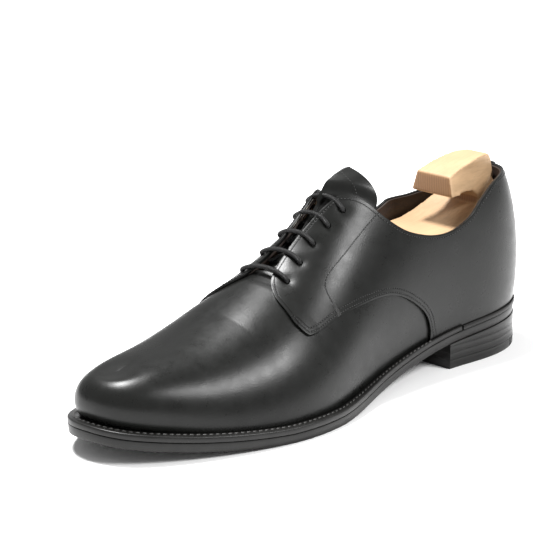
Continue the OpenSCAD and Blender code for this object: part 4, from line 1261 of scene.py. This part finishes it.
BODY_SIDE = [(97, 31), (96, 58), (92, 67), (84, 71), (70, 71.5), (56, 72), (46, 74),
             (36, 78), (28, 83), (20, 90), (12, 97), (-5, 97), (-5, 31.5), (40, 30.5), (75, 29)]
HANDLE_SIDE = [(60, 66), (46, 72.6), (37, 75.6), (32, 79.6), (30.6, 84.5), (33.5, 88.6),
               (38, 90.2), (52, 89.5), (56, 101), (46, 104), (34, 106.5), (24, 107.5),
               (17.5, 106.3), (14, 100), (12, 92), (11.2, 84), (11.2, 60), (60, 60)]
HANDLE_PLAN = [(66, 1), (50, 1), (30, 0.86), (18, 0.6), (8, 0.42)]
HANDLE_WIDTH, TREE_DEPTH, TREE_Y, TREE_Z, PIN_X = 24, -5.05, 2.48977, 36, 64.1219


class SHOE_OT_tree(bpy.types.Operator):
    """Wooden heel block of the shoe tree, sanded smooth"""
    bl_idname = "shoe.tree"
    bl_label = "Shoe tree"

    def execute(self, context):
        body, side, handle = self.body(), self.side_cut(), self.handle()
        tang = self.tang_slot()
        for tool, kind in ((side, "INTERSECT"), (handle, "UNION"), (tang, "DIFFERENCE")):
            cut = body.modifiers.new("Cut", "BOOLEAN")
            cut.object, cut.operation, cut.solver = tool, kind, "EXACT"
            apply_modifiers(body)
        for tool in (side, handle, tang):
            bpy.data.objects.remove(tool)
        remesh = body.modifiers.new("Sand", "REMESH")
        remesh.mode, remesh.voxel_size, remesh.use_smooth_shade = "VOXEL", 0.85 * MM, True
        apply_modifiers(body)
        sand = body.modifiers.new("Sand", "SMOOTH")
        sand.factor, sand.iterations = 0.5, context.scene.shoe_sizes.sanding
        apply_modifiers(body)
        shade(body, 180)
        self.flare(body)
        self.mark_grain(body)
        body.data.materials.clear()
        body.data.materials.append(material("beech"))
        settle(body, "heel_block", "beech", "tree_heel_block")
        return {"FINISHED"}

    def body(self):
        u = np.linspace(6.6, 15.4, 200)
        v = 0.02 + 0.56 * np.linspace(0, 1, 50)
        grid, vv = np.meshgrid(u, v, indexing="ij")
        p = skin(grid, vv, TREE_DEPTH)
        n, m = p.shape[:2]
        faces = grid_faces(n, m)
        half = n // 2
        for j, flip in ((0, False), (m - 1, True)):
            for i in range(half):
                a, b, c, d = (k * m + j for k in (i, i + 1, n - 2 - i, n - 1 - i))
                f = tuple(dict.fromkeys((a, b, c, d)))
                if len(f) > 2:
                    faces.append(f if flip else f[::-1])
        for j in range(m - 1):
            faces.append((j, (n - 1) * m + j, (n - 1) * m + j + 1, j + 1))
        return make_object("tree_heel_wood", p.reshape(-1, 3), faces, material("beech"))

    def prism(self, name, outline, half):
        n = len(outline)
        xz = np.stack([HEEL_X - outline[:, 0], outline[:, 1]], 1)
        rows = []
        for y in np.linspace(-1, 1, 17):
            w = half(outline[:, 0]) if callable(half) else np.full(n, half)
            rows.append(np.stack([xz[:, 0], MIDDLE_Y + y * w, xz[:, 1]], 1))
        return sweep(name, np.array(rows), material("beech"))

    def side_cut(self):
        return self.prism("side_cut", smooth_outline(BODY_SIDE, [0, 10, 11, 12]), 60)

    def handle(self):
        plan = np.array(HANDLE_PLAN[::-1], float)
        return self.prism("handle", smooth_outline(HANDLE_SIDE, [0, 7, 8, 16, 17]), lambda s:
                          HANDLE_WIDTH / 2 * np.interp(s, plan[:, 0], plan[:, 1]))

    def tang_slot(self):
        x0, x1, w = PIN_X - 30, PIN_X + 7.5, 3.3
        ring = np.array([(x0, TREE_Y - w), (x1, TREE_Y - w), (x1, TREE_Y + w), (x0, TREE_Y + w)])
        rings = np.array([np.column_stack([ring, np.full(4, z)]) for z in
                          (TREE_Z - 30, TREE_Z + 30)])
        return sweep("tang_slot", rings, material("beech"))

    def flare(self, obj):
        """The front of the handle is broader and reaches further forward at its foot."""
        mesh = obj.data
        co = np.empty(len(mesh.vertices) * 3)
        mesh.vertices.foreach_get("co", co)
        p = co.reshape(-1, 3) / MM
        s = HEEL_X - p[:, 0]
        handle = smooth((p[:, 2] - 84) / 4) * smooth((s - 26) / 20)
        low = 1 - np.clip((p[:, 2] - 89.5) / 12, 0, 1)
        p[:, 1] += (p[:, 1] - MIDDLE_Y) * handle * 0.28 * low
        p[:, 0] -= handle * low * 5
        mesh.vertices.foreach_set("co", (p * MM).ravel())
        mesh.update()

    def mark_grain(self, obj):
        """The faces that look along the shoe are cut across the grain."""
        normals = np.array([v.normal[:] for v in obj.data.vertices])
        end = smooth((np.abs(normals[:, 0]) - 0.8) / 0.15)
        obj.data.attributes.new("end_grain", "FLOAT", "POINT").data.foreach_set(
            "value", end.astype(np.float32))


class SHOE_OT_inner(bpy.types.Operator):
    """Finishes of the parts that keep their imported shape"""
    bl_idname = "shoe.inner"
    bl_label = "Inner parts"

    def execute(self, context):
        for node, finish in INNER_FINISH.items():
            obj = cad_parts[node]
            obj.data.materials.clear()
            obj.data.materials.append(material(finish))
        return {"FINISHED"}


# ---- Stage ----
class SHOE_OT_stage(bpy.types.Operator):
    """Camera, pale floor and soft studio light"""
    bl_idname = "shoe.stage"
    bl_label = "Stage"

    AIM = Vector((0.12, 0.49, 45)) * MM
    AZIMUTH, ELEVATION, DISTANCE = -45.72, 17.27, 1.29526

    def execute(self, context):
        a, e = math.radians(self.AZIMUTH), math.radians(self.ELEVATION)
        back = Vector((math.sin(a) * math.cos(e), -math.cos(a) * math.cos(e), math.sin(e)))
        camera = bpy.data.cameras.new("Camera")
        camera.lens, camera.sensor_width = 166.9, 36
        camera.shift_x, camera.shift_y = -0.0815, 0.0799
        camera.clip_start, camera.clip_end = 0.05, 50
        eye = bpy.data.objects.new("Camera", camera)
        eye.location = self.AIM + back * self.DISTANCE
        eye.rotation_mode = "QUATERNION"
        eye.rotation_quaternion = (-back).to_track_quat("-Z", "Y")
        context.scene.collection.objects.link(eye)
        context.scene.camera = eye
        context.scene.view_settings.view_transform = "Standard"
        self.floor(context)
        self.lights(context)
        return {"FINISHED"}

    def floor(self, context):
        s = Shader("floor", (0.93, 0.93, 0.93), 0.75, Specular_IOR_Level=0.1)
        s.colour(s.mix(s.noise(3, 2), (0.93, 0.93, 0.93), (0.95, 0.95, 0.95)))
        mesh = bpy.data.meshes.new("floor")
        half = 6
        mesh.from_pydata([(-half, -half, 0), (half, -half, 0), (half, half, 0),
                          (-half, half, 0)], [], [(0, 1, 2, 3)])
        mesh.materials.append(s.material)
        floor = bpy.data.objects.new("floor", mesh)
        context.scene.collection.objects.link(floor)

    def lights(self, context):
        world = bpy.data.worlds.new("Studio")
        world.use_nodes = True
        sky = world.node_tree.nodes["Background"]
        sky.inputs["Color"].default_value = (1, 1, 1, 1)
        sky.inputs["Strength"].default_value = 0.5
        context.scene.world = world
        for name, place, aim, size, power in (
                ("top", (-0.1, 0.36, 1.4), (0, 0, 0), (0.36, 0.36), 44),
                ("side", (0.34, -1.0, 0.95), (0, 0, 0.04), (0.5, 0.4), 19)):
            lamp = bpy.data.lights.new(name, "AREA")
            lamp.shape, lamp.size, lamp.size_y, lamp.energy = "RECTANGLE", *size, power
            obj = bpy.data.objects.new(name, lamp)
            obj.location = place
            obj.rotation_mode = "QUATERNION"
            obj.rotation_quaternion = (Vector(aim) - Vector(place)).to_track_quat("-Z", "Y")
            context.scene.collection.objects.link(obj)


OPERATORS = (SHOE_OT_stage, SHOE_OT_lacing, SHOE_OT_bottom, SHOE_OT_upper, SHOE_OT_tongue,
             SHOE_OT_stitching, SHOE_OT_tree, SHOE_OT_inner)


class SHOE_PT_panel(bpy.types.Panel):
    """Lists the steps in making order"""
    bl_idname = "SHOE_PT_panel"
    bl_label = "Derby shoe"
    bl_space_type = "VIEW_3D"
    bl_region_type = "UI"
    bl_category = "Shoe"

    def draw(self, context):
        for group in (context.scene.shoe_sizes, context.scene.shoe_finishes):
            box = self.layout.box()
            for key in group.__annotations__:
                box.prop(group, key)
        for operator in OPERATORS:
            self.layout.operator(operator.bl_idname)


CLASSES = (Sizes, Finishes, *OPERATORS, SHOE_PT_panel)


def register():
    for cls in CLASSES:
        bpy.utils.register_class(cls)
    bpy.types.Scene.shoe_sizes = PointerProperty(type=Sizes)
    bpy.types.Scene.shoe_finishes = PointerProperty(type=Finishes)


def unregister():
    del bpy.types.Scene.shoe_sizes, bpy.types.Scene.shoe_finishes
    for cls in reversed(CLASSES):
        bpy.utils.unregister_class(cls)


def main():
    register()
    for operator in OPERATORS:
        group, name = operator.bl_idname.split(".")
        getattr(getattr(bpy.ops, group), name)()


if __name__ == "__main__":
    main()
